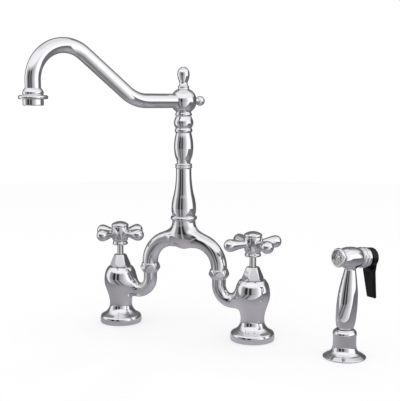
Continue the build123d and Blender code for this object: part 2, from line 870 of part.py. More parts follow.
# ---------------------------------------------------------------- spout
with BuildPart() as spout:
    with BuildLine(spout_place) as spout_route:
        hook_top = (SPOUT_REACH - SPOUT_FOOT) * tan(SPOUT_SLOPE)
        FilletPolyline(
            (8.05, 0),
            (SPOUT_FOOT, 0),
            (SPOUT_REACH, hook_top),
            (SPOUT_REACH, SPOUT_END_Z - HUB_Z),
            radius=(SPOUT_FOOT_BEND_R, SPOUT_HOOK_BEND_R),
        )
    with BuildSketch(Plane(origin=spout_route.line @ 0, z_dir=spout_dir)):
        Circle(SPOUT_R)
        Circle(SPOUT_R - SPOUT_WALL, mode=Mode.SUBTRACT)
    sweep(path=spout_route.line)
save(spout, "spout_tube")

with BuildPart() as collar:
    with BuildSketch(tip_place):
        with BuildLine():
            Line((10.9, 313.1), (16.4, 313.1))
            rim = ThreePointArc((16.4, 313.1), (17.6, 315.3), (16.4, 317.5))
            Line(rim @ 1, (11.9, 317.9))
            bell = Spline(
                (11.9, 317.9),
                (12.5, 320.6),
                (11.6, 323.4),
                (9.9, 326.0),
                tangents=((0.2, 1), (-0.4, 1)),
            )
            Polyline(
                bell @ 1,
                (SPOUT_R + FIT, 326.0),
                (SPOUT_R + FIT, SPOUT_END_Z - 0.05),
                (7.8, SPOUT_END_Z - 0.05),
                (7.8, 317.0),
                (10.9, 317.0),
                (10.9, 313.1),
            )
        make_face()
    revolve(axis=tip_axis)
save(collar, "spout_collar")

save(
    turned(
        tip_place,
        tip_axis,
        [
            (8.8, AERATOR_Z),
            (11.5, AERATOR_Z),
            (12.3, AERATOR_Z + 0.8),
            (12.3, 313.05),
            (10.85, 313.05),
            (10.85, 315.3),
            (9.6, 315.3),
            (9.6, AERATOR_Z + 1.4),
            (8.8, AERATOR_Z + 1.4),
        ],
    ),
    "aerator_shell",
)
with BuildPart() as insert:
    with BuildSketch(level(spout_tip.X, spout_tip.Y, AERATOR_Z + 1.45)):
        Circle(9.5)
        for radius, count in ((2.6, 6), (5.2, 12), (7.6, 18)):
            with PolarLocations(radius, count):
                Circle(0.75, mode=Mode.SUBTRACT)
    extrude(amount=4.5)
save(insert, "aerator_insert")
save(ring(spout_tip.X, spout_tip.Y, 315.35, 316.95, 8.0, 10.6), "aerator_washer")

# ---------------------------------------------------------------- spray holder
with BuildPart() as holder:
    with BuildSketch(holder_place):
        with BuildLine():
            Polyline(
                (0, THREAD_END_Z + 6),
                (THREAD_R - 0.8, THREAD_END_Z + 6),
                (THREAD_R, THREAD_END_Z + 6.8),
                (THREAD_R, -NECK_LENGTH),
                (NECK_R, -NECK_LENGTH),
                (NECK_R, 0),
                (SPRAY_FLANGE_R - 0.5, 0),
                (SPRAY_FLANGE_R, 0.5),
                (SPRAY_FLANGE_R, 1.4),
                (21.4, 4.6),
                (20.1, 4.9),
            )
            Spline((20.1, 4.9), (16.6, 8.4), (HOLDER_R, 16.6), tangents=((-0.9, 0.35), (0, 1)))
            Polyline((HOLDER_R, 16.6), (HOLDER_R, 27.6), (HOLDER_R + 0.5, 28.1), (HOLDER_R + 0.5, 30.2))
            ThreePointArc((HOLDER_R + 0.5, 30.2), (13.6, 32.9), (11.6, HOLDER_TOP_Z))
            Polyline((11.6, HOLDER_TOP_Z), (0, HOLDER_TOP_Z), (0, THREAD_END_Z + 6))
        make_face()
    revolve(axis=holder_axis)
    with BuildSketch(level(SPRAY_X, SPRAY_Y, THREAD_END_Z)):
        Circle(HOLDER_BORE_R)
    extrude(amount=90, mode=Mode.SUBTRACT)
    with BuildSketch(level(SPRAY_X, SPRAY_Y, 18.0)):
        Circle(10.75)
    extrude(amount=20, mode=Mode.SUBTRACT)
    with BuildSketch(level(SPRAY_X, SPRAY_Y, 0)):
        Circle(23.0)
        Circle(14.6, mode=Mode.SUBTRACT)
    extrude(amount=2.0, mode=Mode.SUBTRACT)
save(holder, "spray_holder")
save(ring(SPRAY_X, SPRAY_Y, 0, 1.9, 14.8, 22.8), "spray_holder_gasket")
save(lock_nut(SPRAY_X, SPRAY_Y, DECK_UNDERSIDE_Z, 7.5, 34.0, THREAD_R + FIT), "spray_holder_nut")
save(
    turned(
        holder_place,
        holder_axis,
        [
            (9.4, 18.05),
            (10.7, 18.05),
            (10.7, HOLDER_TOP_Z + 0.05),
            (11.3, HOLDER_TOP_Z + 0.05),
            (11.3, HOLDER_TOP_Z + 0.7),
            (11.0, HOLDER_TOP_Z + BUSH_LIP),
            (9.4, HOLDER_TOP_Z + BUSH_LIP),
        ],
    ),
    "holder_bush",
)

# ---------------------------------------------------------------- spray handle
HANDLE_FOOT = 1.25
with BuildPart() as grip:
    with BuildSketch(handle_place):
        with BuildLine():
            Polyline((0, HANDLE_END), (0, HANDLE_FOOT), (9.8, HANDLE_FOOT), (10.6, HANDLE_FOOT + 0.9))
            Spline(
                (10.6, HANDLE_FOOT + 0.9),
                (11.8, 8.0),
                (12.6, 20.0),
                (12.6, 32.0),
                (11.6, 46.0),
                (9.7, 58.5),
                (6.9, HANDLE_END),
                tangents=((0.25, 1), (-0.22, 1)),
            )
            Line((6.9, HANDLE_END), (0, HANDLE_END))
        make_face()
    revolve(axis=handle_axis)
    with BuildSketch(Plane(origin=mouth + spray_up * HANDLE_END, z_dir=spray_up)):
        Circle(4.9)
    extrude(amount=4.0)
    with BuildSketch(Plane(origin=mouth, z_dir=spray_up)):
        Circle(3.4)
    extrude(amount=HEAD_AT, mode=Mode.SUBTRACT)
    with BuildSketch(Plane(origin=mouth, z_dir=spray_up)):
        Circle(5.0 + FIT)
    extrude(amount=11, mode=Mode.SUBTRACT)
save(grip, "spray_handle")

save(
    turned(
        handle_place,
        handle_axis,
        [
            (3.2, -22.0),
            (5.6, -22.0),
            (6.3, -21.3),
            (6.3, HANDLE_FOOT - 0.05),
            (5.0, HANDLE_FOOT - 0.05),
            (5.0, 10.0),
            (3.2, 10.0),
        ],
    ),
    "hose_coupling",
)

# ---------------------------------------------------------------- spray head
HEAD_FRONT = 16.9
HEAD_REAR = -12.2
COLLAR_REAR = -24.1
with BuildPart() as head:
    with BuildSketch(head_place):
        with BuildLine():
            Line((HEAD_FRONT, 0), (HEAD_FRONT, 10.2))
            Spline(
                (HEAD_FRONT, 10.2),
                (11.0, 12.3),
                (1.5, 13.3),
                (-6.5, 12.6),
                (HEAD_REAR, 11.2),
                tangents=((-1, 0.7), (-1, -0.3)),
            )
            Polyline((HEAD_REAR, 11.2), (HEAD_REAR, 0), (HEAD_FRONT, 0))
        make_face()
    revolve(axis=head_axis)
    with BuildSketch(Plane(origin=mouth + spray_up * (HANDLE_END + 0.05), z_dir=spray_up)):
        Circle(6.9)
    extrude(amount=8)
    with BuildSketch(head_place):
        with BuildLine():
            Polyline(
                (HEAD_FRONT, 0),
                (HEAD_FRONT, 8.6),
                (5.5, 8.6),
                (5.5, 3.4),
                (3.0, 3.4),
                (3.0, 8.6),
                (HEAD_REAR, 8.6),
                (HEAD_REAR, 0),
                close=True,
            )
        make_face()
    revolve(axis=head_axis, mode=Mode.SUBTRACT)
    with BuildSketch(Plane(origin=mouth + spray_up * HANDLE_END, z_dir=spray_up)):
        Circle(4.9 + FIT)
    extrude(amount=8, mode=Mode.SUBTRACT)
save(head, "spray_head")

with BuildPart() as nozzle:
    with BuildSketch(head_place):
        with BuildLine():
            Polyline(
                (HEAD_FRONT - 3.0, 0),
                (HEAD_FRONT - 3.0, 8.5),
                (HEAD_FRONT + 0.05, 8.5),
                (HEAD_FRONT + 0.05, 9.9),
                (HEAD_FRONT + 1.7, 10.9),
            )
            ThreePointArc((HEAD_FRONT + 1.7, 10.9), (HEAD_FRONT + 4.1, 11.7), (HEAD_FRONT + 6.5, 10.6))
            Polyline(
                (HEAD_FRONT + 6.5, 10.6),
                (HEAD_FRONT + 6.5, 9.5),
                (HEAD_FRONT + 3.7, 8.9),
                (HEAD_FRONT + 1.5, 8.9),
                (HEAD_FRONT + 1.5, 7.4),
                (HEAD_FRONT - 1.0, 7.4),
                (HEAD_FRONT - 1.0, 0),
                (HEAD_FRONT - 3.0, 0),
            )
        make_face()
    revolve(axis=head_axis)
    with BuildSketch(Plane(origin=head_centre, x_dir=spray_up, z_dir=spray_fore)):
        with PolarLocations(5.0, 4, start_angle=45):
            Circle(1.9)
        Circle(1.25)
    extrude(amount=HEAD_FRONT - 0.5, mode=Mode.SUBTRACT)
save(nozzle, "nozzle_ring")

with BuildPart() as plate:
    plate_centre = head_centre + spray_fore * (HEAD_FRONT + 1.55)
    with BuildSketch(Plane(origin=plate_centre, x_dir=spray_up, z_dir=spray_fore)):
        Circle(8.8)
        Circle(1.35, mode=Mode.SUBTRACT)
        for radius, count in ((4.4, 8), (6.6, 14)):
            with PolarLocations(radius, count):
                Circle(0.6, mode=Mode.SUBTRACT)
    extrude(amount=1.6)
save(plate, "spray_plate")

with BuildPart() as screw:
    with BuildSketch(head_place):
        with BuildLine():
            crown = TangentArc((HEAD_FRONT + 5.1, 0), (HEAD_FRONT + 3.8, 2.9), tangent=(0, 1))
            Polyline(
                crown @ 1,
                (HEAD_FRONT + 3.2, 2.9),
                (HEAD_FRONT + 3.2, 1.2),
                (HEAD_FRONT - 2.9, 1.2),
                (HEAD_FRONT - 2.9, 0),
                (HEAD_FRONT + 5.1, 0),
            )
        make_face()
    revolve(axis=head_axis)
save(screw, "plate_screw")

with BuildPart() as rear_collar:
    with BuildSketch(head_place):
        with BuildLine():
            Polyline(
                (-10.0, 0),
                (-10.0, 8.5),
                (HEAD_REAR - 0.05, 8.5),
                (HEAD_REAR - 0.05, 11.6),
                (-13.4, 12.2),
            )
            ThreePointArc((-13.4, 12.2), (-15.2, 12.8), (-17.0, 12.2))
            Polyline(
                (-17.0, 12.2),
                (-17.6, 11.6),
                (-18.8, 11.6),
                (-19.4, 12.3),
                (-20.3, 12.7),
                (COLLAR_REAR + 0.8, 12.7),
                (COLLAR_REAR, 12.1),
                (COLLAR_REAR, 0),
                (-10.0, 0),
            )
        make_face()
    revolve(axis=head_axis)
    ear_root = COLLAR_REAR + 1.0
    with BuildSketch(head_place):
        with Locations((-PIVOT_BACK, PIVOT_UP)):
            Circle(EAR_R)
        with Locations(((ear_root - PIVOT_BACK) / 2, PIVOT_UP)):
            Rectangle(ear_root + PIVOT_BACK, 2 * EAR_R)
    extrude(amount=3.0, both=True)
    with BuildSketch(head_place):
        with Locations((-PIVOT_BACK, PIVOT_UP)):
            Circle(1.3)
    extrude(amount=6, both=True, mode=Mode.SUBTRACT)
    with BuildSketch(Plane(origin=head_centre - spray_fore * 32, z_dir=spray_fore)):
        Circle(PLUNGER_R + FIT)
    extrude(amount=30, mode=Mode.SUBTRACT)
save(rear_collar, "head_collar")

# ---------------------------------------------------------------- spray lever
CAP_R = 12.4
CAP_FRONT = -24.4
CAP_BACK = -35.4
CAP_FLOOR = -33.4
CAP_ROUND = 2.2
BLADE_HALF_TOP = 9.4
BLADE_HALF_END = 6.5
PAD_FACE = PLUNGER_END - 0.2
with BuildPart() as blade:
    with BuildSketch(head_place):
        with BuildLine():
            Polyline(
                (-34.6, -3.0),
                (-31.2, -11.0),
                (-29.2, -17.0),
                (-38.0, -48.4),
                (-38.9, -50.2),
                (-41.3, -50.8),
                (-42.4, -49.2),
                (-34.9, -14.5),
                (-35.2, -8.0),
                close=True,
            )
        make_face()
    extrude(amount=BLADE_HALF_TOP, both=True)
    for turn in (1, -1):
        flank_place = Plane(origin=head_centre, x_dir=spray_side * turn, z_dir=spray_fore * turn)
        with BuildSketch(flank_place):
            with BuildLine():
                Polyline(
                    (BLADE_HALF_TOP, 2.0),
                    (12.0, 2.0),
                    (12.0, 56.0),
                    (BLADE_HALF_END, 56.0),
                    close=True,
                )
            make_face()
        extrude(amount=-60 * turn, mode=Mode.SUBTRACT)
    long_edges = blade.edges().filter_by(
        lambda e: (e.center() - head_centre).dot(spray_up) < -18
        and abs((e.center() - head_centre).dot(spray_side)) > BLADE_HALF_END - 0.2
    )
    fillet(long_edges, 1.2)

with BuildPart() as lever:
    with BuildSketch(head_place):
        with BuildLine():
            Polyline((CAP_FRONT, 0), (CAP_FRONT, CAP_R), (CAP_BACK + CAP_ROUND, CAP_R))
            ThreePointArc(
                (CAP_BACK + CAP_ROUND, CAP_R),
                (CAP_BACK + 0.65, CAP_R - 0.65),
                (CAP_BACK, CAP_R - CAP_ROUND),
            )
            Polyline((CAP_BACK, CAP_R - CAP_ROUND), (CAP_BACK, 0), (CAP_FRONT, 0))
        make_face()
    revolve(axis=head_axis)
    add(blade.part)
    with BuildSketch(head_place):
        with BuildLine():
            Polyline((-20, 0), (-20, 10.2), (CAP_FLOOR, 10.2), (CAP_FLOOR, 0), close=True)
        make_face()
    revolve(axis=head_axis, mode=Mode.SUBTRACT)
    with BuildSketch(head_place):
        with BuildLine():
            Polyline((-20, 7.0), (-24.6, 7.0), (-28.2, -13.4), (-20, -13.4), close=True)
        make_face()
    extrude(amount=16, both=True, mode=Mode.SUBTRACT)
    with BuildSketch(Plane(origin=head_centre + spray_fore * (CAP_FLOOR - 0.1), z_dir=spray_fore)):
        Circle(2.4)
    extrude(amount=PAD_FACE - CAP_FLOOR + 0.1)
    with BuildSketch(head_place):
        with Locations((-PIVOT_BACK, PIVOT_UP)):
            Circle(1.27)
    extrude(amount=14, mode=Mode.SUBTRACT)
    with BuildSketch(head_place):
        with Locations((-PIVOT_BACK, PIVOT_UP)):
            Circle(1.27)
    extrude(amount=-8.7, mode=Mode.SUBTRACT)
save(lever, "spray_lever")

with BuildPart() as pin:
    pin_start = head_centre - spray_fore * PIVOT_BACK + spray_up * PIVOT_UP - spray_side * 8.6
    with BuildSketch(Plane(origin=pin_start, z_dir=spray_side)):
        Circle(1.25)
    extrude(amount=18.0)
save(pin, "lever_pin")

# ---------------------------------------------------------------- spray valve
with BuildPart() as plunger:
    with BuildSketch(head_place):
        with BuildLine():
            dome = TangentArc((PLUNGER_END, 0), (PLUNGER_END + 0.88, PLUNGER_R), tangent=(0, 1))
            Polyline(
                dome @ 1,
                (-9.0, PLUNGER_R),
                (-9.0, 5.6),
                (-7.6, 5.6),
                (-7.6, 2.2),
                (5.6, 2.2),
                (5.6, 5.2),
                (7.6, 5.2),
                (7.6, 0),
                (PLUNGER_END, 0),
            )
        make_face()
    revolve(axis=head_axis)
save(plunger, "plunger")
save(
    coil(head_centre - spray_fore * 7.0, spray_fore, 8.0, 3.9, 0.5, 5),
    "plunger_spring",
)
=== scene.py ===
"""The bridge faucet's finished looks: chrome skins, a black spray lever and a plain studio.

Outlines are written in millimetres, as (radius, height) from the foot up, and become metres in one
place. Every skin sits where its CAD piece is and rides on the same body.
"""

import json
import math

import bpy
import numpy as np
from mathutils import Matrix, Vector


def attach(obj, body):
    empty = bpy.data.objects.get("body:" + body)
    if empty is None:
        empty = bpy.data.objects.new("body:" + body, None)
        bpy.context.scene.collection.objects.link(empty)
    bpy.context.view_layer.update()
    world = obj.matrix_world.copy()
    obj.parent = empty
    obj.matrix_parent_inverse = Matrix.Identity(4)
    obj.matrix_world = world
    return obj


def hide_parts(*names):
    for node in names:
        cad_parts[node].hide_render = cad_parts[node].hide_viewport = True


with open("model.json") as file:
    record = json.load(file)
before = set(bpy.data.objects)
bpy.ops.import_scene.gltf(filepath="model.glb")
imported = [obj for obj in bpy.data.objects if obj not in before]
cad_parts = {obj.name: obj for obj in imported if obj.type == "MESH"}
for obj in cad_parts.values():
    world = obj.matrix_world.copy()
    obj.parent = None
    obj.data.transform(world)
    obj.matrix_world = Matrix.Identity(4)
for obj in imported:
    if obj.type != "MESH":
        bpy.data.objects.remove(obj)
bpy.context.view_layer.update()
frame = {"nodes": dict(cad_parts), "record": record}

MM = 0.001
SMOOTH = "smooth"  # a point that an outline runs through without a corner
EDGE = 0.3  # rounding of a turned edge, in mm
EDGE_SHARE = 0.45  # the most of a side that its corner's rounding takes
EDGE_PULL = 0.55  # how far the rounding's handles go to the corner
ARC_PIECE = math.radians(25)  # the most that one Bezier piece of an arc turns
WELD = 0.002  # in mm
SHARP = math.radians(30)  # faces that meet at more than this keep their edge
UP = Vector((0, 0, 1))
RIGHT = Vector((1, 0, 0))

# ---------------------------------------------------------------- places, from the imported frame
mounts = {mount["name"]: mount for mount in frame["record"]["mounts"]}
joints = {joint["name"]: joint for joint in frame["record"]["behaviour"]["joints"]}
VALVE_X = {
    "left": mounts["hot_supply"]["pos_m"][0] / MM,
    "right": mounts["cold_supply"]["pos_m"][0] / MM,
}
UNION_X = 52.8
UNION_BOTTOM = 76.3
ELBOW_Z = 48.0
ELBOW_BEND_R = 20.0
ELBOW_R = 9.2
YOKE_R = 10.8
YOKE_BEND_R = 35.0
YOKE_Z = 125.5
LEG_END_Z = 82.6
ARM_ANGLES = {"left": 78.0, "right": 55.0}
ARM_Z = 127.6

SPOUT_YAW = math.radians(26.7)
SPOUT_WAY = Vector((-math.sin(SPOUT_YAW), -math.cos(SPOUT_YAW), 0))
HUB = Vector((0, 0, 311.5))
SPOUT_REACH = 216.0
SPOUT_R = 9.4
SPOUT_SLOPE = math.radians(38.0)
SPOUT_FOOT = 75.2
SPOUT_END = 6.5  # above the hub's centre
TIP = SPOUT_WAY * SPOUT_REACH

SPRAY_UP = Vector(joints["spray_pull"]["axis"])
SPRAY_FORE = Vector(joints["valve_push"]["axis"])
SPRAY_SIDE = SPRAY_FORE.cross(SPRAY_UP)
HOLDER = Vector((232.1, -19.0, 0))
MOUTH = HOLDER + UP * 35.3
HEAD = MOUTH + SPRAY_UP * 87.6
PIVOT = HEAD - SPRAY_FORE * 28.6 + SPRAY_UP * 7.2


# ---------------------------------------------------------------- modelling helpers
def alone(piece):
    """Makes a piece the only selected one."""
    bpy.ops.object.select_all(action="DESELECT")
    piece.select_set(True)
    bpy.context.view_layer.objects.active = piece


def arc(centre_r, centre_h, radius, start, end, count):
    """Smooth points along an arc of an outline, its angles in degrees from the radial direction."""
    points = []
    for k in range(count):
        turn = math.radians(start + (end - start) * k / (count - 1))
        r, h = centre_r + radius * math.cos(turn), centre_h + radius * math.sin(turn)
        points.append((r, h, SMOOTH))
    return points


def knots_of(outline, closed=False):
    """An outline's Bezier knots (left handle, knot, right handle), its corners slightly rounded."""
    points = [Vector(point[:2]) for point in outline]
    kinds = [point[2] if len(point) > 2 else EDGE for point in outline]
    last = len(points) - 1
    knots = []
    for i, (point, kind) in enumerate(zip(points, kinds)):
        if not closed and i in (0, last):
            other = 1 if i == 0 else last - 1
            is_pole = point.x == 0 and kinds[other] == SMOOTH
            pull = Vector((points[other].x / 2 if is_pole else 0, 0))
            knots.append((point + pull, point, point + pull))
            continue
        behind, ahead = points[i - 1] - point, points[(i + 1) % (last + 1)] - point
        if kind == SMOOTH:
            way = ahead.normalized() * behind.length - behind.normalized() * ahead.length
            way.normalize()
            knots.append((point - way * behind.length / 3, point, point + way * ahead.length / 3))
            continue
        enter = point + behind.normalized() * min(kind, behind.length * EDGE_SHARE)
        leave = point + ahead.normalized() * min(kind, ahead.length * EDGE_SHARE)
        knots.append((enter, enter, enter.lerp(point, EDGE_PULL)))
        knots.append((leave.lerp(point, EDGE_PULL), leave, leave))
    return knots


def path_knots(corners, radii):
    """Knots of straight runs joined by true arcs of the radii given."""
    points = [Vector(corner) for corner in corners]
    knots = [(points[0], points[0], points[0])]
    for before, corner, after, radius in zip(points, points[1:], points[2:], radii):
        back, on = (before - corner).normalized(), (after - corner).normalized()
        half = back.angle(on) / 2
        centre = corner + (back + on).normalized() * radius / math.sin(half)
        start = corner + back * radius / math.tan(half) - centre
        turn = math.copysign(math.pi - 2 * half, back.y * on.x - back.x * on.y)
        pieces = max(2, math.ceil(abs(turn) / ARC_PIECE))
        reach = 4 / 3 * math.tan(abs(turn) / pieces / 4) * radius
        for k in range(pieces + 1):
            spin = Matrix.Rotation(turn * k / pieces, 2)
            spot, way = centre + spin @ start, spin @ -back
            knots.append((spot - way * reach, spot, spot + way * reach))
    knots.append((points[-1], points[-1], points[-1]))
    return knots


def draw_curve(name, knots, origin, across, along, spans, closed=False):
    """A Bezier curve through knots given in a plane, in millimetres."""
    bpy.ops.object.select_all(action="DESELECT")
    bpy.ops.curve.primitive_bezier_curve_add(location=(0, 0, 0))
    curve = bpy.context.object
    curve.name = name
    spline = curve.data.splines[0]
    spline.bezier_points.add(len(knots) - 2)
    spline.resolution_u = spans
    spline.use_cyclic_u = closed
    for bezier, knot in zip(spline.bezier_points, knots):
        bezier.handle_left_type = bezier.handle_right_type = "FREE"
        left, middle, right = ((origin + across * p.x + along * p.y) * MM for p in knot)
        bezier.co, bezier.handle_left, bezier.handle_right = middle, left, right
    return curve


def clean_up(piece):
    """Welds a skin, points its faces outwards and shades it smooth between its edges."""
    alone(piece)
    bpy.ops.object.mode_set(mode="EDIT")
    bpy.ops.mesh.select_all(action="SELECT")
    bpy.ops.mesh.remove_doubles(threshold=WELD * MM)
    bpy.ops.mesh.normals_make_consistent(inside=False)
    bpy.ops.object.mode_set(mode="OBJECT")
    bpy.ops.object.shade_smooth_by_angle(angle=SHARP)
    return piece


def turned(name, outline, origin=(0, 0, 0), axis=UP, steps=96, spans=5, closed=False):
    """Spins an outline about an axis through the origin given."""
    origin, axis = Vector(origin), Vector(axis)
    across = axis.cross(SPRAY_FORE if abs(axis.z) > 0.9 else UP).normalized()
    piece = draw_curve(name, knots_of(outline, closed), origin, across, axis, spans, closed)
    bpy.ops.object.convert(target="MESH")
    bpy.ops.object.mode_set(mode="EDIT")
    bpy.ops.mesh.select_all(action="SELECT")
    bpy.ops.mesh.spin(steps=steps, angle=math.tau, center=origin * MM, axis=axis)
    bpy.ops.object.mode_set(mode="OBJECT")
    return clean_up(piece)


def bent_tube(name, corners, radii, radius, across=RIGHT, origin=(0, 0, 0), spans=6, sides=24):
    """A round bar of one radius along an upright path of straight runs and arcs."""
    path = draw_curve(name, path_knots(corners, radii), Vector(origin), across, UP, spans)
    path.data.bevel_depth = radius * MM
    path.data.bevel_resolution = sides
    path.data.use_fill_caps = True
    bpy.ops.object.convert(target="MESH")
    return clean_up(path)


def combine(piece, others, operation="UNION"):
    """Joins closed skins to a piece, or cuts them out of it."""
    for other in others:
        modifier = piece.modifiers.new("combine", "BOOLEAN")
        modifier.operation = operation
        modifier.solver = "EXACT"
        modifier.object = other
        alone(piece)
        bpy.ops.object.modifier_apply(modifier=modifier.name)
        bpy.data.objects.remove(other)
    return clean_up(piece)


# ---------------------------------------------------------------- forms, for fillets and facets
# A form takes points in millimetres and gives their signed distance from a surface and the way out
# of it.
LINE_STEPS = 14  # points on each Bezier piece of a form's outline
AT_ONCE = 3000  # points measured in one go
ON_SKIN = 0.03  # a vertex this near a raw form lies on it, in mm
SETTLED = 1e-3  # in mm
SETTLE_ROUNDS = 10
LEAST_SLOPE = 0.1  # of a form, which keeps a round's move short


def dense_line(knots):
    """Points along Bezier knots with their outward normals, for an outline that runs up."""
    u = np.linspace(0, 1, LINE_STEPS, endpoint=False)[:, None]
    runs = []
    for (_, start, out), (back, end, _) in zip(knots, knots[1:]):
        a, b, c, d = (np.array(p) for p in (start, out, back, end))
        v = 1 - u
        runs.append(v**3 * a + 3 * u * v**2 * b + 3 * u**2 * v * c + u**3 * d)
    line = np.vstack(runs + [np.array([knots[-1][1]])])
    way = np.gradient(line, axis=0)
    normal = np.stack([way[:, 1], -way[:, 0]], 1)
    return line, normal / np.maximum(np.linalg.norm(normal, axis=1), 1e-9)[:, None]


def beside(points, line, normal):
    """Signed distance of flat points from a line, and the line's normal next to them."""
    start, run = line[:-1], np.diff(line, axis=0)
    length = np.maximum((run**2).sum(1), 1e-12)
    gaps, ways = [], []
    for chunk in np.array_split(points, len(points) // AT_ONCE + 1):
        off = chunk[:, None] - start[None]
        share = np.clip((off * run).sum(2) / length, 0, 1)
        best = ((off - share[..., None] * run) ** 2).sum(2).argmin(1)
        part = share[np.arange(len(chunk)), best][:, None]
        out = chunk - start[best] - run[best] * part
        way = normal[best] * (1 - part) + normal[best + 1] * part
        way /= np.maximum(np.linalg.norm(way, axis=1), 1e-9)[:, None]
        gap = (out * way).sum(1)
        before, after = (best == 0) & (part[:, 0] == 0), (best == len(run) - 1) & (part[:, 0] == 1)
        past = before | after
        reach = np.copysign(np.maximum(np.linalg.norm(out, axis=1), 1e-9), gap)
        gap[past] = reach[past]
        way[past] = (out / reach[:, None])[past]
        gaps.append(gap)
        ways.append(way)
    return np.concatenate(gaps), np.vstack(ways)


def turned_form(outline, origin, axis=UP):
    """The form of an outline turned about an axis."""
    line, normal = dense_line(knots_of(outline))
    origin, axis = np.array(origin), np.array(axis)

    def form(p):
        height = (p - origin) @ axis
        radial = p - origin - height[:, None] * axis
        radius = np.maximum(np.linalg.norm(radial, axis=1), 1e-6)
        gap, way = beside(np.stack([radius, height], 1), line, normal)
        return gap, radial * (way[:, 0] / radius)[:, None] + axis * way[:, 1:]

    return form


def tube_form(corners, radii, radius):
    """The form of a round bar whose path lies in the plane of the two valves."""
    line, normal = dense_line(path_knots(corners, radii))

    def form(p):
        off, way = beside(p[:, [0, 2]], line, normal)
        out = np.stack([off * way[:, 0], p[:, 1], off * way[:, 1]], 1)
        size = np.maximum(np.linalg.norm(out, axis=1), 1e-6)
        return size - radius, out / size[:, None]

    return form


def flat_form(spot, way):
    """The form of a flat face."""
    spot, way = np.array(spot), np.array(way) / np.linalg.norm(way)
    return lambda p: ((p - spot) @ way, np.broadcast_to(way, p.shape))


def meet(first, second, reach, cut=False):
    """Two forms joined by a soft fillet, or where one cuts the other, with a soft edge."""
    sign = -1 if cut else 1

    def form(p):
        (a, way_a), (b, way_b) = first(p), second(p)
        k, slope = reach(p) if callable(reach) else (reach, 0)
        mix = np.clip(0.5 + 0.5 * sign * (b - a) / k, 0, 1)
        way = way_a * mix[:, None] + way_b * (1 - mix)[:, None]
        way[:, 2] -= sign * mix * (1 - mix) * slope
        return a * mix + b * (1 - mix) - sign * k * mix * (1 - mix), way

    return form


def growing(low, high, small, large):
    """A fillet's size that grows with the height, and how fast it does."""

    def reach(p):
        t = np.clip((p[:, 2] - low) / (high - low), 0, 1)
        size = small + (large - small) * t * t * (3 - 2 * t)
        return size, (large - small) * 6 * t * (1 - t) / (high - low)

    return reach


def nearest_of(forms):
    """The union of forms that stay apart."""

    def form(p):
        gaps, ways = zip(*(each(p) for each in forms))
        gaps, ways = np.array(gaps), np.array(ways)
        best, rows = gaps.argmin(0), np.arange(len(p))
        return gaps[best, rows], ways[best, rows]

    return form


def settle(piece, form, raw_forms):
    """Moves what lies on a skin's raw forms onto the finished form, and shades it from there."""
    mesh = piece.data
    spots = np.empty(len(mesh.vertices) * 3)
    mesh.vertices.foreach_get("co", spots)
    spots = spots.reshape(-1, 3) / MM
    on_skin = np.min([np.abs(raw(spots)[0]) for raw in raw_forms], axis=0) < ON_SKIN
    moves = np.flatnonzero(on_skin)
    moves = moves[np.abs(form(spots[moves])[0]) > SETTLED]
    for _ in range(SETTLE_ROUNDS):
        gap, way = form(spots[moves])
        spots[moves] -= way * (gap / np.maximum((way**2).sum(1), LEAST_SLOPE))[:, None]
    mesh.vertices.foreach_set("co", (spots * MM).ravel())
    mesh.update()
    normals = np.zeros_like(spots)
    normals[moves] = form(spots[moves])[1]
    normals /= np.maximum(np.linalg.norm(normals, axis=1), 1e-9)[:, None]
    corners = np.empty(len(mesh.loops) * 3)
    mesh.corner_normals.foreach_get("vector", corners)
    corners = corners.reshape(-1, 3)
    vertex = np.empty(len(mesh.loops), dtype=np.int32)
    mesh.loops.foreach_get("vertex_index", vertex)
    moved = np.isin(vertex, moves)
    corners[moved] = normals[vertex[moved]]
    mesh.normals_split_custom_set(corners.tolist())
    return piece


def dress(piece, body, slot, *stands_for):
    """Finishes a piece: its material, the body that it rides on and the CAD nodes it stands for."""
    piece.data.materials.clear()
    piece.data.materials.append(by_slot[slot])
    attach(piece, body)
    if stands_for:
        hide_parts(*stands_for)
    return piece


# ---------------------------------------------------------------- materials
def new_group(name, inputs, outputs):
    """An empty shader node group with number inputs and outputs."""
    group = bpy.data.node_groups.new(name, "ShaderNodeTree")
    for label, value in inputs.items():
        socket = group.interface.new_socket(label, in_out="INPUT", socket_type="NodeSocketFloat")
        socket.default_value = value
    for label in outputs:
        group.interface.new_socket(label, in_out="OUTPUT", socket_type="NodeSocketFloat")
    given = group.nodes.new("NodeGroupInput").outputs
    made = group.nodes.new("NodeGroupOutput").inputs
    return group, given, made


def add_node(tree, kind, inputs, **settings):
    """A shader node with its settings; an input takes a plain value or another node's output."""
    node = tree.nodes.new("ShaderNode" + kind)
    for key, value in settings.items():
        setattr(node, key, value)
    for label, value in inputs.items():
        if isinstance(value, bpy.types.NodeSocket):
            tree.links.new(value, node.inputs[label])
        else:
            node.inputs[label].default_value = value
    return node


def finish_group():
    """Marks of a finished surface: patches of haze and a fine grain."""
    usual = {"Gloss": 0.04, "Haze": 0.03, "Size": 60.0, "Grain": 900.0}
    group, given, made = new_group("surface_finish", usual, ("Roughness", "Patches", "Height"))
    place = add_node(group, "TexCoord", {}).outputs["Object"]
    haze = add_node(group, "TexNoise", {"Vector": place, "Scale": given["Size"], "Detail": 4.0})
    limits = {"From Min": 0.35, "From Max": 0.75}  # the noise's usual lowest and highest values
    spread = add_node(group, "MapRange", {"Value": haze.outputs["Fac"], **limits})
    gloss = add_node(
        group,
        "Math",
        {0: spread.outputs["Result"], 1: given["Haze"], 2: given["Gloss"]},
        operation="MULTIPLY_ADD",
    )
    grain = add_node(group, "TexNoise", {"Vector": place, "Scale": given["Grain"], "Detail": 2.0})
    group.links.new(gloss.outputs["Value"], made["Roughness"])
    group.links.new(spread.outputs["Result"], made["Patches"])
    group.links.new(grain.outputs["Fac"], made["Height"])
    return group


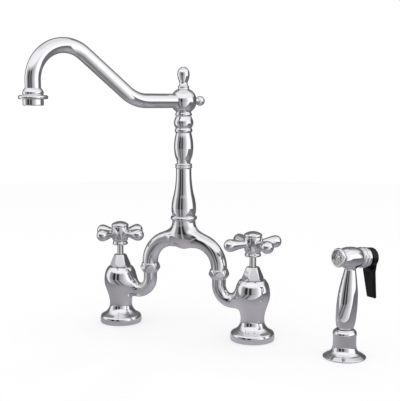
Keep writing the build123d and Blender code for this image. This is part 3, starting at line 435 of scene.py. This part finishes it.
def blend(tree, share, first, second, **settings):
    """A colour between two others, each a plain one or another node's output."""
    mix = add_node(tree, "Mix", {"Factor": share}, data_type="RGBA", **settings)
    for label, value in (("A", first), ("B", second)):
        if isinstance(value, tuple):
            mix.inputs[label].default_value = (*value, 1)
        else:
            tree.links.new(value, mix.inputs[label])
    return mix.outputs["Result"]


def plain_material(name, color, roughness, plain=None):
    """A material with plain values on its shader's own sockets."""
    material = bpy.data.materials.new(name)
    material.use_nodes = True
    shader = material.node_tree.nodes["Principled BSDF"]
    shader.inputs["Base Color"].default_value = (*color, 1)
    shader.inputs["Roughness"].default_value = roughness
    for label, value in (plain or {}).items():
        shader.inputs[label].default_value = value
    return material, material.node_tree, shader


def finished(name, color, patch, gloss, haze, size, grain, depth, plain=None):
    """A surface with two close tones in patches, whose gloss and relief vary too."""
    material, tree, shader = plain_material(name, color, gloss, plain)
    marks = add_node(tree, "Group", {}, node_tree=surface_finish)
    for label, value in (("Gloss", gloss), ("Haze", haze), ("Size", size), ("Grain", grain)):
        marks.inputs[label].default_value = value
    bump = add_node(tree, "Bump", {"Distance": depth * MM, "Height": marks.outputs["Height"]})
    tree.links.new(blend(tree, marks.outputs["Patches"], color, patch), shader.inputs["Base Color"])
    tree.links.new(marks.outputs["Roughness"], shader.inputs["Roughness"])
    tree.links.new(bump.outputs["Normal"], shader.inputs["Normal"])
    return material


surface_finish = finish_group()
METAL = {"Metallic": 1.0}
DULL = {"Specular IOR Level": 0.2}
# slot: name, tone and the patches' tone; then gloss, haze in the patches, patches and grains per
# metre, depth of the grain in mm, and plain values
FINISHES = {
    "chrome": (
        "chrome_plate", (0.74, 0.735, 0.76), (0.7, 0.695, 0.725),
        0.03, 0.03, 60, 45, 0.02, METAL,
    ),
    "stem_metal": (
        "stem_plate", (0.78, 0.78, 0.79), (0.72, 0.72, 0.74),
        0.14, 0.06, 90, 700, 0.01, METAL,
    ),
    "plain_brass": (
        "turned_brass", (0.72, 0.5, 0.2), (0.6, 0.4, 0.15),
        0.22, 0.12, 80, 500, 0.02, METAL,
    ),
    "steel": (
        "fine_steel", (0.55, 0.55, 0.56), (0.47, 0.47, 0.49),
        0.25, 0.1, 90, 800, 0.02, METAL,
    ),
    "black_plastic": (
        "black_plastic", (0.004, 0.004, 0.005), (0.008, 0.008, 0.009),
        0.26, 0.1, 120, 1500, 0.01, DULL,
    ),
    "white_plastic": (
        "white_plastic", (0.8, 0.8, 0.78), (0.74, 0.74, 0.71),
        0.42, 0.1, 120, 1200, 0.01,
    ),
    "ceramic": (
        "ceramic", (0.85, 0.84, 0.8), (0.8, 0.79, 0.75),
        0.18, 0.06, 150, 1500, 0.004,
    ),
    "seal_rubber": (
        "rubber", (0.02, 0.02, 0.02), (0.032, 0.031, 0.03),
        0.55, 0.2, 120, 1000, 0.02,
    ),
}
by_slot = {slot: finished(*values) for slot, values in FINISHES.items()}
for row in frame["record"]["subparts"]:
    for slot in frame["nodes"][row["node"]].material_slots:
        slot.material = by_slot[row["material_slot"]]

# ---------------------------------------------------------------- valves
FLARE = arc(24.22, 7.15, 4.7, 5.5, 67.7, 4)[:-1] + arc(32.35, 27.0, 16.75, 247.7, 180.0, 7)
URN = [
    (28.9, 0, 1.2), *FLARE, (16.4, 35.0, SMOOTH), (19.3, 45.0, SMOOTH), (22.2, 54.0, SMOOTH),
    (22.9, 60.0, SMOOTH), (22.3, 67.5, SMOOTH), (20.3, 74.5, SMOOTH), (17.6, 79.0, 0.8),
    (16.4, 80.0),
]
URN_INSIDE = [
    (12.4, 80), (12.4, 68), (11, 68), (11, 40), (5.5, 40), (5.5, 18), (10.45, 18), (10.45, 0),
    (14.6, 0),
]
URN_RELIEF = [(14.6, 2.2), (26.0, 2.2), (26.0, 0)]
ELBOW_ROOT = 12.5  # from the urn's axis, inside its wall
ELBOW_TOP = 81
ELBOW_FILLET = growing(40.0, 58.0, 6.0, 16.0)


def valve_body(side):
    """Turned urn on its flange, with the side elbow growing out of it."""
    x = VALVE_X[side]
    sign = math.copysign(1, x)
    urn = turned(f"{side}_body", URN + URN_INSIDE + URN_RELIEF, (x, 0, 0), steps=128, closed=True)
    union_x = sign * UNION_X
    route = [(x - sign * ELBOW_ROOT, ELBOW_Z), (union_x, ELBOW_Z), (union_x, ELBOW_TOP)]
    combine(urn, [bent_tube("elbow", route, [ELBOW_BEND_R], ELBOW_R)])
    outside = URN_RELIEF[-1:] + URN + URN_INSIDE[:1]
    raw = turned_form(outside, (x, 0, 0)), tube_form(route, [ELBOW_BEND_R], ELBOW_R)
    settle(urn, meet(*raw, ELBOW_FILLET), raw)
    return dress(urn, "deck_fittings", "chrome", f"{side}_valve_body")


HEXAGON_CORNER = 0.7  # easing between two faces
TURNED_CORNER = 0.5  # easing where the faces cut a turned blank


def hexagon(centre, apothem, taper=0.0):
    """The form of six faces round an upright axis, leaning in by the taper, with eased corners."""
    faces = []
    for k in range(6):
        turn = math.radians(60 * k)
        out = Vector((math.cos(turn), math.sin(turn), 0))
        faces.append(flat_form(centre + out * apothem, out + UP * math.tan(taper)))
    form = faces[0]
    for face in faces[1:]:
        form = meet(form, face, HEXAGON_CORNER, cut=True)
    return form


BONNET = [(13.4, 80.1, 0.4), (14.5, 82.2, 1.0), (14.4, 83.6, 1.2), (8.6, 96.6, 0.4), (8.0, 97.0)]
BONNET_INSIDE = [(6.25, 97.0), (6.25, 84), (9.5, 84), (9.5, 71), (12.35, 71), (12.35, 80.1)]
BONNET_FOOT_Z, BONNET_TOP_Z = 80.1, 97.0
BONNET_FOOT, BONNET_TOP = 13.6, 7.7  # from the axis to a face


def bonnet(side):
    """Tapered six-sided nut, its corners turned off by a cone."""
    x = VALVE_X[side]
    outline = BONNET + BONNET_INSIDE
    nut = turned(f"{side}_bonnet_nut", outline, (x, 0, 0), steps=240, spans=8, closed=True)
    raw = turned_form(BONNET_INSIDE[-1:] + BONNET + BONNET_INSIDE[:1], (x, 0, 0))
    taper = math.atan((BONNET_FOOT - BONNET_TOP) / (BONNET_TOP_Z - BONNET_FOOT_Z))
    faces = hexagon(Vector((x, 0, BONNET_FOOT_Z)), BONNET_FOOT, taper)
    settle(nut, meet(raw, faces, TURNED_CORNER, cut=True), [raw])
    return dress(nut, "deck_fittings", "chrome", f"{side}_bonnet")


UNION_NUT = [(10.1, 0, 0.4), (13.9, 5.8, 0.5), (13.9, 7.2, 0.5), (11.7, 13.0, 0.4)]
UNION_INSIDE = [(10.85, 13.0), (10.85, 3.3), (9.25, 3.3), (9.25, 0)]
UNION_HALF_WIDTH = 12.4


def union_nut(side, sign):
    """Hexagon nut between two cones, so that its corners come to a V."""
    origin = Vector((sign * UNION_X, 0, UNION_BOTTOM))
    outline = UNION_NUT + UNION_INSIDE
    nut = turned(f"{side}_union_nut", outline, origin, steps=240, spans=6, closed=True)
    raw = turned_form(UNION_INSIDE[-1:] + UNION_NUT + UNION_INSIDE[:1], origin)
    faces = hexagon(origin, UNION_HALF_WIDTH)
    settle(nut, meet(raw, faces, TURNED_CORNER, cut=True), [raw])
    return nut


HUB_FOOT = [
    (9.8, 110.6, 0.6), (10.7, 111.5, 0.6), (10.7, 113.6, 0.6), (9.9, 114.4, 0.5), (9.9, 116.6, 0.8),
]
HANDLE_HUB = HUB_FOOT + [
    (11.0, 118.4, 0.8), (12.0, 127.0, SMOOTH), (11.8, 135.9, 0.5), (11.2, 136.5),
]
HANDLE_INSIDE = [(8.6, 136.5), (8.6, 131.4), (4.6, 131.4), (4.6, 110.6)]
ARM = [(0, 9.5), (4.95, 9.5), (4.9, 13.0, SMOOTH), (5.2, 17.5, SMOOTH), (6.5, 24.5, SMOOTH)]
ARM_BALL = [(8.0, 32.0, SMOOTH)] + arc(0, 34.5, 8.2, 0, 90, 5)[:-1] + [(0, 42.7)]
BUTTON = [(0, 131.5), (8.5, 131.5), (8.5, 136.5), (11.4, 136.5), (12.0, 137.1)]
BUTTON_SHOULDER = arc(8.749, 137.814, 3.345, 13.6, 56.4, 4)[:-1]
BUTTON_CROWN = arc(0, 124.64, 19.16, 56.4, 90, 5)[:-1] + [(0, 143.8)]
ARM_FILLET = 3.0


def cross_handle(side):
    """Four ball-ended arms on a hub, with the domed button on top."""
    x = VALVE_X[side]
    hub = turned(f"{side}_cross_handle", HANDLE_HUB + HANDLE_INSIDE, origin=(x, 0, 0), closed=True)
    arms, forms = [], []
    for k in range(4):
        angle = math.radians(ARM_ANGLES[side] + 90 * k)
        way = Vector((math.cos(angle), math.sin(angle), 0))
        arms.append(turned("arm", ARM + ARM_BALL, (x, 0, ARM_Z), way, steps=64))
        forms.append(turned_form(ARM + ARM_BALL, (x, 0, ARM_Z), way))
    combine(hub, arms)
    outside = HANDLE_INSIDE[-1:] + HANDLE_HUB + HANDLE_INSIDE[:1]
    raw = turned_form(outside, (x, 0, 0)), nearest_of(forms)
    settle(hub, meet(*raw, ARM_FILLET), raw)
    dress(hub, f"{side}_turning", "chrome", f"{side}_handle")
    button = turned(f"{side}_button", BUTTON + BUTTON_SHOULDER + BUTTON_CROWN, origin=(x, 0, 0))
    dress(button, f"{side}_turning", "chrome", f"{side}_handle_button")


for side in VALVE_X:
    valve_body(side)
    bonnet(side)
    cross_handle(side)
union_nuts = [union_nut("left", -1), union_nut("right", 1)]
dress(union_nuts[0], "deck_fittings", "chrome", "union_nuts")
dress(union_nuts[1], "deck_fittings", "chrome", "union_nuts")

# ---------------------------------------------------------------- bridge yoke
NECK = [
    (0, 113.0), (4.2, 113.6, SMOOTH), (8.2, 116.0, SMOOTH), (11.2, 120.5, SMOOTH),
    (12.6, 126.0, SMOOTH),
]
NECK_TOP = [(13.2, 134.0, SMOOTH), (13.9, 142.0, SMOOTH), (14.8, 148.0, SMOOTH), (15.6, 152.4)]
NECK_SOCKET = [(12.05, 152.4), (12.05, 138.2), (0, 138.2)]
ARCH = [(-UNION_X, LEG_END_Z), (-UNION_X, YOKE_Z), (UNION_X, YOKE_Z), (UNION_X, LEG_END_Z)]
NECK_FILLET = growing(118.0, 136.0, 4.0, 21.0)

yoke = bent_tube("yoke", ARCH, [YOKE_BEND_R] * 2, YOKE_R, spans=12, sides=28)
combine(yoke, [turned("neck", NECK + NECK_TOP + NECK_SOCKET, steps=128, spans=8)])
neck_form = turned_form(NECK + NECK_TOP + NECK_SOCKET[:1], (0, 0, 0))
yoke_raw = tube_form(ARCH, [YOKE_BEND_R] * 2, YOKE_R), neck_form
settle(yoke, meet(*yoke_raw, NECK_FILLET), yoke_raw)
dress(yoke, "deck_fittings", "chrome", "bridge_yoke")

# ---------------------------------------------------------------- column
COLUMN_FOOT = [
    (12.0, 140.2), (12.0, 152.45), (16.6, 152.45, 0.2), *arc(14.7, 155.0, 3.2, -50, 50, 6),
]
COLUMN_LOW = [
    (15.2, 157.9, 0.3), (16.4, 163.0, SMOOTH), (16.5, 171.0, SMOOTH), (15.1, 180.5, SMOOTH),
]
COLUMN_WAIST = [
    (13.3, 188.0, SMOOTH), (11.9, 195.5, SMOOTH), (10.8, 205.0, SMOOTH), (10.4, 214.0, SMOOTH),
    (10.4, 221.8, 0.3),
]
COLUMN_BEADS = [
    *arc(9.56, 223.5, 1.94, -42, 42, 5), (10.6, 225.1, 0.2), *arc(9.81, 226.6, 1.69, -45, 45, 5),
]
COLUMN_VASE = [
    (9.0, 228.4, 0.4), (9.5, 232.0, SMOOTH), (11.7, 238.5, SMOOTH), (12.9, 247.5, SMOOTH),
    (12.7, 256.0, SMOOTH), (11.4, 264.5, SMOOTH), (10.3, 269.2, 0.3),
    *arc(7.175, 272.4, 4.625, -34, 34, 6), (10.4, 275.6, 0.3),
]
COLUMN_BALL = [(12.4, 279.0, SMOOTH), (13.0, 283.0, SMOOTH), (12.1, 287.2, SMOOTH), (10.5, 290.8)]
COLUMN_INSIDE = [
    (8.6, 290.8), (8.6, 257), (6, 257), (6, 197), (9, 197), (9, 160), (7, 160), (7, 140.2),
]
column_outline = COLUMN_FOOT + COLUMN_LOW + COLUMN_WAIST + COLUMN_BEADS + COLUMN_VASE + COLUMN_BALL
column = turned("column_skin", column_outline + COLUMN_INSIDE, steps=128, spans=6, closed=True)
dress(column, "deck_fittings", "chrome", "column")

# ---------------------------------------------------------------- hub, finial, knob and spout
HUB_LIP = [
    (10.6, 291.7, 0.2), *arc(7.89, 293.6, 3.31, -33, 33, 5), (10.1, 295.8, 0.3), (10.1, 297.0, 0.6),
]
HUB_BALL = arc(0, HUB.z, 17.5, -53, 64, 13) + [(7.4, 328.0, 0.5), (7.4, 329.1)]
HUB_INSIDE = [(3.05, 329.1), (3.05, 320.7), (0, 320.7)]
HUB_SPIGOT = [(0, 258.5), (7.04, 258.5), (7.04, 291.7)]
FINIAL = [
    (0, 321.1), (3.0, 321.1), (3.0, 329.1), (7.2, 329.1), (7.6, 329.6), (7.6, 330.4, 0.4),
    (6.2, 332.1, SMOOTH), (5.4, 334.6, SMOOTH), (6.9, 339.2, SMOOTH), (8.15, 345.2, SMOOTH),
    (7.3, 351.2, SMOOTH), (4.6, 354.8, SMOOTH), (0, 356.2),
]
KNOB = [(0, -33.5)] + arc(0, -27.0, 6.5, -75, 56, 8)
KNOB_FOOT = [
    (3.6, -21.3, 0.3), (3.6, -19.2, 0.4), (4.6, -18.2, 0.3), (4.6, -16.95), (2.5, -16.95),
    (2.5, -10), (0, -10),
]
hub = turned("ball_hub", HUB_SPIGOT + HUB_LIP + HUB_BALL + HUB_INSIDE, steps=128)
dress(hub, "spout", "chrome", "hub")
dress(turned("egg_finial", FINIAL), "spout", "chrome", "finial")
dress(turned("ball_knob", KNOB + KNOB_FOOT, HUB, SPOUT_WAY), "spout", "chrome", "rear_knob")

SPOUT_BENDS = [48.0, 42.0]
# the height over the hub's centre at which the slope would meet the drop
SPOUT_CREST = (SPOUT_REACH - SPOUT_FOOT) * math.tan(SPOUT_SLOPE)
SPOUT_ROUTE = [(8.05, 0), (SPOUT_FOOT, 0), (SPOUT_REACH, SPOUT_CREST), (SPOUT_REACH, SPOUT_END)]
spout = bent_tube(
    "gooseneck", SPOUT_ROUTE, SPOUT_BENDS, SPOUT_R, SPOUT_WAY, HUB, spans=12, sides=28
)
dress(spout, "spout", "chrome", "spout_tube")
COLLAR = [
    (10.9, 313.1), (16.4, 313.1, 0.3), *arc(14.98, 315.3, 2.62, -50, 50, 6), (11.9, 317.9, 0.3),
    (12.5, 320.6, SMOOTH), (11.6, 323.4, SMOOTH), (9.9, 326.0), (9.45, 326.0), (9.45, 317.95),
    (7.8, 317.95), (7.8, 317.0), (10.9, 317.0),
]
SHELL = [
    (8.8, 305.6), (11.5, 305.6), (12.3, 306.4), (12.3, 313.05), (10.85, 313.05), (10.85, 315.3),
    (9.6, 315.3), (9.6, 307.0), (8.8, 307.0),
]
dress(turned("end_collar", COLLAR, TIP, closed=True), "spout", "chrome", "spout_collar")
dress(turned("aerator_sleeve", SHELL, TIP, closed=True), "spout", "chrome", "aerator_shell")

# ---------------------------------------------------------------- spray holder and spray
HOLDER_LOW = [
    (12.6, -39.2), (12.6, -12), (13.1, -12), (13.1, 0), (14.6, 0), (14.6, 2), (23, 2), (23, 0),
]
HOLDER_FLANGE = [
    (26.0, 0), (26.4, 0.5), (26.4, 1.4, 0.5), (21.4, 4.6, 0.5), (20.1, 4.9, 0.5),
    (17.7, 6.8, SMOOTH), (15.6, 10.1, SMOOTH), (14.5, 13.8, SMOOTH), (14.2, 17.4, SMOOTH),
    (14.2, 27.6, 0.3), (14.7, 28.1), (14.7, 30.2, SMOOTH),
]
HOLDER_TOP = [
    (13.7, 32.9, SMOOTH), (12.1, 34.4, SMOOTH), (11.2, 35.2, 0.2), (9.6, 35.3, 0.2), (9.6, 34.3),
    (10.75, 34.3), (10.75, 18), (9.7, 18), (9.7, -40), (11.8, -40),
]
BUSH = [(9.4, 18.05), (10.7, 18.05), (10.7, 34.25), (9.4, 34.25)]
GRIP = [
    (5.05, 1.25), (8.2, 1.25), (8.4, -0.6, 0.2), (8.9, -0.6, 0.3), (9.5, 0.9, 0.3),
    (10.6, 2.15, 0.4), (11.8, 8.0, SMOOTH), (12.6, 20.0, SMOOTH), (12.6, 32.0, SMOOTH),
    (11.6, 46.0, SMOOTH), (9.7, 58.5, SMOOTH), (6.9, 73.0), (4.9, 73), (4.9, 77), (3.4, 77),
    (3.4, 11), (5.05, 11),
]
BARREL = [
    (11.2, -12.2), (12.6, -6.5, SMOOTH), (13.3, 1.5, SMOOTH), (12.3, 11.0, SMOOTH), (10.2, 16.9),
]
BARREL_INSIDE = [(8.6, 16.9), (8.6, 5.5), (3.4, 5.5), (3.4, 3.0), (8.6, 3.0), (8.6, -12.2)]
BARREL_FILLET = 2.5
NECK_PLUG = [(0, -14.55), (6.9, -14.55), (6.9, -9.2), (0, -9.2)]
NOZZLE = [
    (8.5, 13.9), (8.5, 16.95), (9.9, 16.95), (10.9, 18.6, 0.4), *arc(9.45, 21.0, 2.3, -45, 55, 6),
    (10.6, 23.4), (9.5, 23.4, 0.4), (8.9, 20.6), (8.9, 18.4), (7.4, 18.4), (7.4, 15.9),
    (1.25, 15.9), (1.25, 13.9),
]
REAR = [
    (0, -24.1), (12.1, -24.1, 0.4), (12.7, -23.3, 0.4), (12.7, -20.3, 0.5), (12.3, -19.4, 0.4),
    (11.6, -18.8), (11.6, -17.6), *arc(11.0, -15.2, 1.95, -60, 60, 6), (11.6, -12.25),
    (8.5, -12.25), (8.5, -10.0), (0, -10.0),
]
SCREW = [
    (0, 14.0), (1.2, 14.0), (1.2, 20.1), (2.9, 20.1), (2.9, 20.7), (2.2, 21.5, SMOOTH),
    (1.1, 21.9, SMOOTH), (0, 22.0),
]

holder_outline = HOLDER_LOW + HOLDER_FLANGE + HOLDER_TOP
holder = turned("deck_holder", holder_outline, HOLDER, steps=128, closed=True)
dress(holder, "deck_fittings", "chrome", "spray_holder")
bush = turned("mouth_bush", BUSH, HOLDER, closed=True)
dress(bush, "deck_fittings", "black_plastic", "holder_bush")
dress(turned("spray_grip", GRIP, MOUTH, SPRAY_UP, closed=True), "spray", "chrome", "spray_handle")
barrel = turned("spray_barrel", BARREL + BARREL_INSIDE, HEAD, SPRAY_FORE, closed=True)
combine(barrel, [turned("neck_plug", NECK_PLUG, HEAD, SPRAY_UP)])
barrel_outline = BARREL_INSIDE[-1:] + BARREL + BARREL_INSIDE[:1]
plug_form = turned_form([(6.9, -20), (6.9, -5), (0, -5)], HEAD, SPRAY_UP)
barrel_raw = turned_form(barrel_outline, HEAD, SPRAY_FORE), plug_form
settle(barrel, meet(*barrel_raw, BARREL_FILLET), barrel_raw)
dress(barrel, "spray", "chrome", "spray_head")
nozzle = turned("nozzle", NOZZLE, HEAD, SPRAY_FORE, closed=True)
dress(nozzle, "spray", "chrome", "nozzle_ring")
screw = turned("plate_screw_head", SCREW, HEAD, SPRAY_FORE, steps=48)
dress(screw, "spray", "chrome", "plate_screw")


EAR_LENGTH = 5.5
EAR_WIDTH = 6.0
EAR_R = 2.2
PIN_HOLE = [(0, -6), (1.3, -6), (1.3, 6), (0, 6)]
PLUNGER_HOLE = [(0, -32), (2.55, -32), (2.55, -2), (0, -2)]


def ears():
    """The round-ended bar behind the collar that carries the lever's pin."""
    bpy.ops.object.select_all(action="DESELECT")
    turn = Matrix((SPRAY_FORE, -SPRAY_SIDE, SPRAY_UP)).transposed().to_euler()
    middle = PIVOT + SPRAY_FORE * EAR_LENGTH / 2
    bpy.ops.mesh.primitive_cube_add(size=MM, location=middle * MM, rotation=turn)
    bar = bpy.context.object
    bpy.ops.transform.resize(value=(EAR_LENGTH, EAR_WIDTH, 2 * EAR_R), orient_type="LOCAL")
    bpy.ops.object.transform_apply(location=True, rotation=True, scale=True)
    half = EAR_WIDTH / 2
    end = [(0, -half), (EAR_R, -half), (EAR_R, half), (0, half)]
    return bar, turned("ear_end", end, PIVOT, SPRAY_SIDE, steps=48)


rear = turned("rear_steps", REAR, HEAD, SPRAY_FORE)
combine(rear, ears())
pin_way = turned("pin_way", PIN_HOLE, PIVOT, SPRAY_SIDE, steps=32)
plunger_way = turned("plunger_way", PLUNGER_HOLE, HEAD, SPRAY_FORE, steps=32)
combine(rear, [pin_way, plunger_way], "DIFFERENCE")
dress(rear, "spray", "chrome", "head_collar")

# ---------------------------------------------------------------- stage
CAMERA_AT = Vector((0.5174, -0.9730, 0.3086))
CAMERA_WAY = Vector((-0.4488, 0.8859, -0.1174))
CAMERA_AZIMUTH = math.atan2(CAMERA_AT.y, CAMERA_AT.x)


def stage_piece(piece, material, only_in_gloss=False):
    """Gives a stage piece its material and, where wanted, hides it from all but the polish."""
    piece.data.materials.append(material)
    if only_in_gloss:
        piece.visible_camera = piece.visible_diffuse = piece.visible_shadow = False
        piece.visible_volume_scatter = False
    return piece


def glow(name):
    """A material that only shines, and its shader's colour and strength sockets."""
    material = bpy.data.materials.new(name)
    material.use_nodes = True
    tree = material.node_tree
    tree.nodes.clear()
    shine = add_node(tree, "Emission", {})
    out = add_node(tree, "OutputMaterial", {"Surface": shine.outputs["Emission"]})
    return material, tree, shine, out


def ramp(tree, value, stops):
    """A grey ramp of (place, brightness) stops, from low to high."""
    node = add_node(tree, "ValToRGB", {"Fac": value})
    elements = node.color_ramp.elements
    elements.remove(elements[1])
    for i, (place, shade) in enumerate(stops):
        element = elements.new(place) if i else elements[0]
        element.position = place
        element.color = (shade, shade, shade, 1)
    return node.outputs["Color"]


def seen_directly(tree):
    """One where a ray comes from the camera, a reflection or through glass, else zero."""
    path = add_node(tree, "LightPath", {}).outputs
    direct = {0: path["Is Camera Ray"], 1: path["Is Glossy Ray"]}
    seen = add_node(tree, "Math", direct, operation="ADD")
    through = {0: seen.outputs[0], 1: path["Is Transmission Ray"]}
    return add_node(tree, "Math", through, operation="ADD", use_clamp=True).outputs[0]


# the floor: white to the camera and in reflections, with the soft shadow kept
FLOOR_SIZE = 8.0
FLOOR_DROP = 0.0002
FLOOR_TONE = (0.62, 0.62, 0.62)
FLOOR_LIFT = 0.5  # what is added to the floor's own shade to make it white
bpy.ops.object.select_all(action="DESELECT")
bpy.ops.mesh.primitive_plane_add(size=FLOOR_SIZE, location=(0, 0, -FLOOR_DROP))
floor_paint, floor_tree, floor_shader = plain_material("floor_paint", FLOOR_TONE, 0.9)
floor_shader.inputs["Emission Color"].default_value = (1, 1, 1, 1)
floor_seen = {0: seen_directly(floor_tree), 1: FLOOR_LIFT}
lift = add_node(floor_tree, "Math", floor_seen, operation="MULTIPLY")
floor_tree.links.new(lift.outputs[0], floor_shader.inputs["Emission Strength"])
stage_piece(bpy.context.object, floor_paint).name = "floor"

SKY_LIGHT = 0.8  # on the object; the background itself is 1, plain white
world = bpy.data.worlds.new("studio")
bpy.context.scene.world = world
world.use_nodes = True
background = world.node_tree.nodes["Background"]
background.inputs["Color"].default_value = (1, 1, 1, 1)
level = add_node(
    world.node_tree,
    "MapRange",
    {"Value": seen_directly(world.node_tree), "To Min": SKY_LIGHT, "To Max": 1.0},
)
world.node_tree.links.new(level.outputs["Result"], background.inputs["Strength"])

# the studio's wall of soft boxes and dark flags and the ceiling over them, seen only in the polish:
# degrees to the right of the camera and brightness
WALL = [
    (-180, 0.2), (-160, 0.14), (-125, 0.2), (-112, 1.1), (-88, 1.1), (-80, 0.45), (-60, 0.3),
    (-52, 0.03), (-38, 0.03), (-34, 0.45), (-29, 0.4), (-25, 0.04), (-14, 0.04), (-4, 0.45),
    (14, 0.6), (34, 1.0), (42, 1.4), (85, 1.4), (98, 0.2), (120, 0.12), (150, 0.12), (170, 0.2),
]
CEILING = [(-180, 0.2), (-135, 0.3), (-100, 1.15), (0, 1.25), (100, 1.15), (135, 0.3), (170, 0.2)]
WALL_RADIUS = 2.2
WALL_HEIGHT = 4.0
WALL_LIGHT = 2.0
WALL_SIDES = 96
FLAG_TOP = (0.95, 1.45)  # the height over which the flags give way to the ceiling's light


def place_in(tree):
    """The place on a piece, which is the place in the studio."""
    return add_node(tree, "TexCoord", {}).outputs["Object"]


def round_pattern(tree, stops):
    """Brightness by the direction round the object, from stops in degrees right of the camera."""
    from_camera = {"Vector": place_in(tree), "Rotation": (0, 0, -CAMERA_AZIMUTH)}
    vector = add_node(tree, "Mapping", from_camera).outputs["Vector"]
    around = add_node(tree, "TexGradient", {"Vector": vector}, gradient_type="RADIAL")
    shades = [((degrees + 180) / 360, light / WALL_LIGHT) for degrees, light in stops]
    return ramp(tree, around.outputs["Fac"], shades)


def rising(tree, direction, start, end):
    """A share that goes from zero to one along one direction of the studio."""
    along = add_node(tree, "SeparateXYZ", {"Vector": place_in(tree)}).outputs[direction]
    share = add_node(tree, "MapRange", {"Value": along, "From Min": start, "From Max": end})
    return share.outputs["Result"]


bpy.ops.object.select_all(action="DESELECT")
bpy.ops.mesh.primitive_cylinder_add(
    vertices=WALL_SIDES, radius=WALL_RADIUS, depth=WALL_HEIGHT, end_fill_type="NOTHING"
)
bpy.ops.transform.translate(value=(0, 0, WALL_HEIGHT / 2))
bpy.ops.object.transform_apply(location=True, rotation=False, scale=False)
wall = bpy.context.object
wall.name = "studio_wall"
wall_paint, wall_tree, wall_shine, _ = glow("wall_paint")
flags, ceiling = round_pattern(wall_tree, WALL), round_pattern(wall_tree, CEILING)
wall_light = blend(wall_tree, rising(wall_tree, "Z", *FLAG_TOP), flags, ceiling)
wall_tree.links.new(wall_light, wall_shine.inputs["Color"])
wall_shine.inputs["Strength"].default_value = WALL_LIGHT
stage_piece(wall, wall_paint, only_in_gloss=True)

# the table that the object stands on, seen only in the polish: a grey top with its front edge close
# by, and the flags again beyond the edge
TABLE_EDGE = (-0.17, -0.15)
TABLE_TOP = [(0.0, 0.03), (0.35, 0.08), (0.7, 0.17), (1.0, 0.26)]  # far parts to middle
TABLE_TINT = (1.0, 0.95, 1.03)
TABLE_MIDDLE = 0.06
TABLE_REACH = (0.6, 0.34)
TABLE_COVER = 0.85  # how much of the floor's own reflection it takes away
bpy.ops.object.select_all(action="DESELECT")
bpy.ops.mesh.primitive_circle_add(vertices=WALL_SIDES, radius=WALL_RADIUS, fill_type="NGON")
table = bpy.context.object
table.name = "grey_table"
table_paint, table_tree, table_shine, table_out = glow("table_paint")
table_oval = {
    "Vector": place_in(table_tree),
    "Location": (-TABLE_MIDDLE / TABLE_REACH[0], 0, 0),
    "Scale": (1 / TABLE_REACH[0], 1 / TABLE_REACH[1], 1),
}
oval = add_node(table_tree, "Mapping", table_oval).outputs["Vector"]
nearness = add_node(table_tree, "TexGradient", {"Vector": oval}, gradient_type="SPHERICAL")
grey = ramp(table_tree, nearness.outputs["Fac"], TABLE_TOP)
top = blend(table_tree, 1.0, grey, TABLE_TINT, blend_type="MULTIPLY")
beyond = round_pattern(table_tree, WALL)
table_light = blend(table_tree, rising(table_tree, "Y", *TABLE_EDGE), beyond, top)
table_tree.links.new(table_light, table_shine.inputs["Color"])
table_shine.inputs["Strength"].default_value = WALL_LIGHT
clear = add_node(table_tree, "BsdfTransparent", {})
cover = add_node(table_tree, "MixShader", {0: TABLE_COVER})
table_tree.links.new(clear.outputs["BSDF"], cover.inputs[1])
table_tree.links.new(table_shine.outputs["Emission"], cover.inputs[2])
table_tree.links.new(cover.outputs["Shader"], table_out.inputs["Surface"])
stage_piece(table, table_paint, only_in_gloss=True)

# ---------------------------------------------------------------- camera
FOCAL_PX = 824.12
LONG_SIDE_PX = 401
SENSOR_MM = 36.0
lens = bpy.data.cameras.new("camera")
lens.sensor_width = SENSOR_MM
lens.lens = FOCAL_PX / LONG_SIDE_PX * SENSOR_MM
lens.clip_start = 0.01
lens.clip_end = 50
camera = bpy.data.objects.new("camera", lens)
bpy.context.scene.collection.objects.link(camera)
camera.location = CAMERA_AT
camera.rotation_euler = CAMERA_WAY.to_track_quat("-Z", "Y").to_euler()
bpy.context.scene.camera = camera
bpy.context.scene.view_settings.view_transform = "Standard"
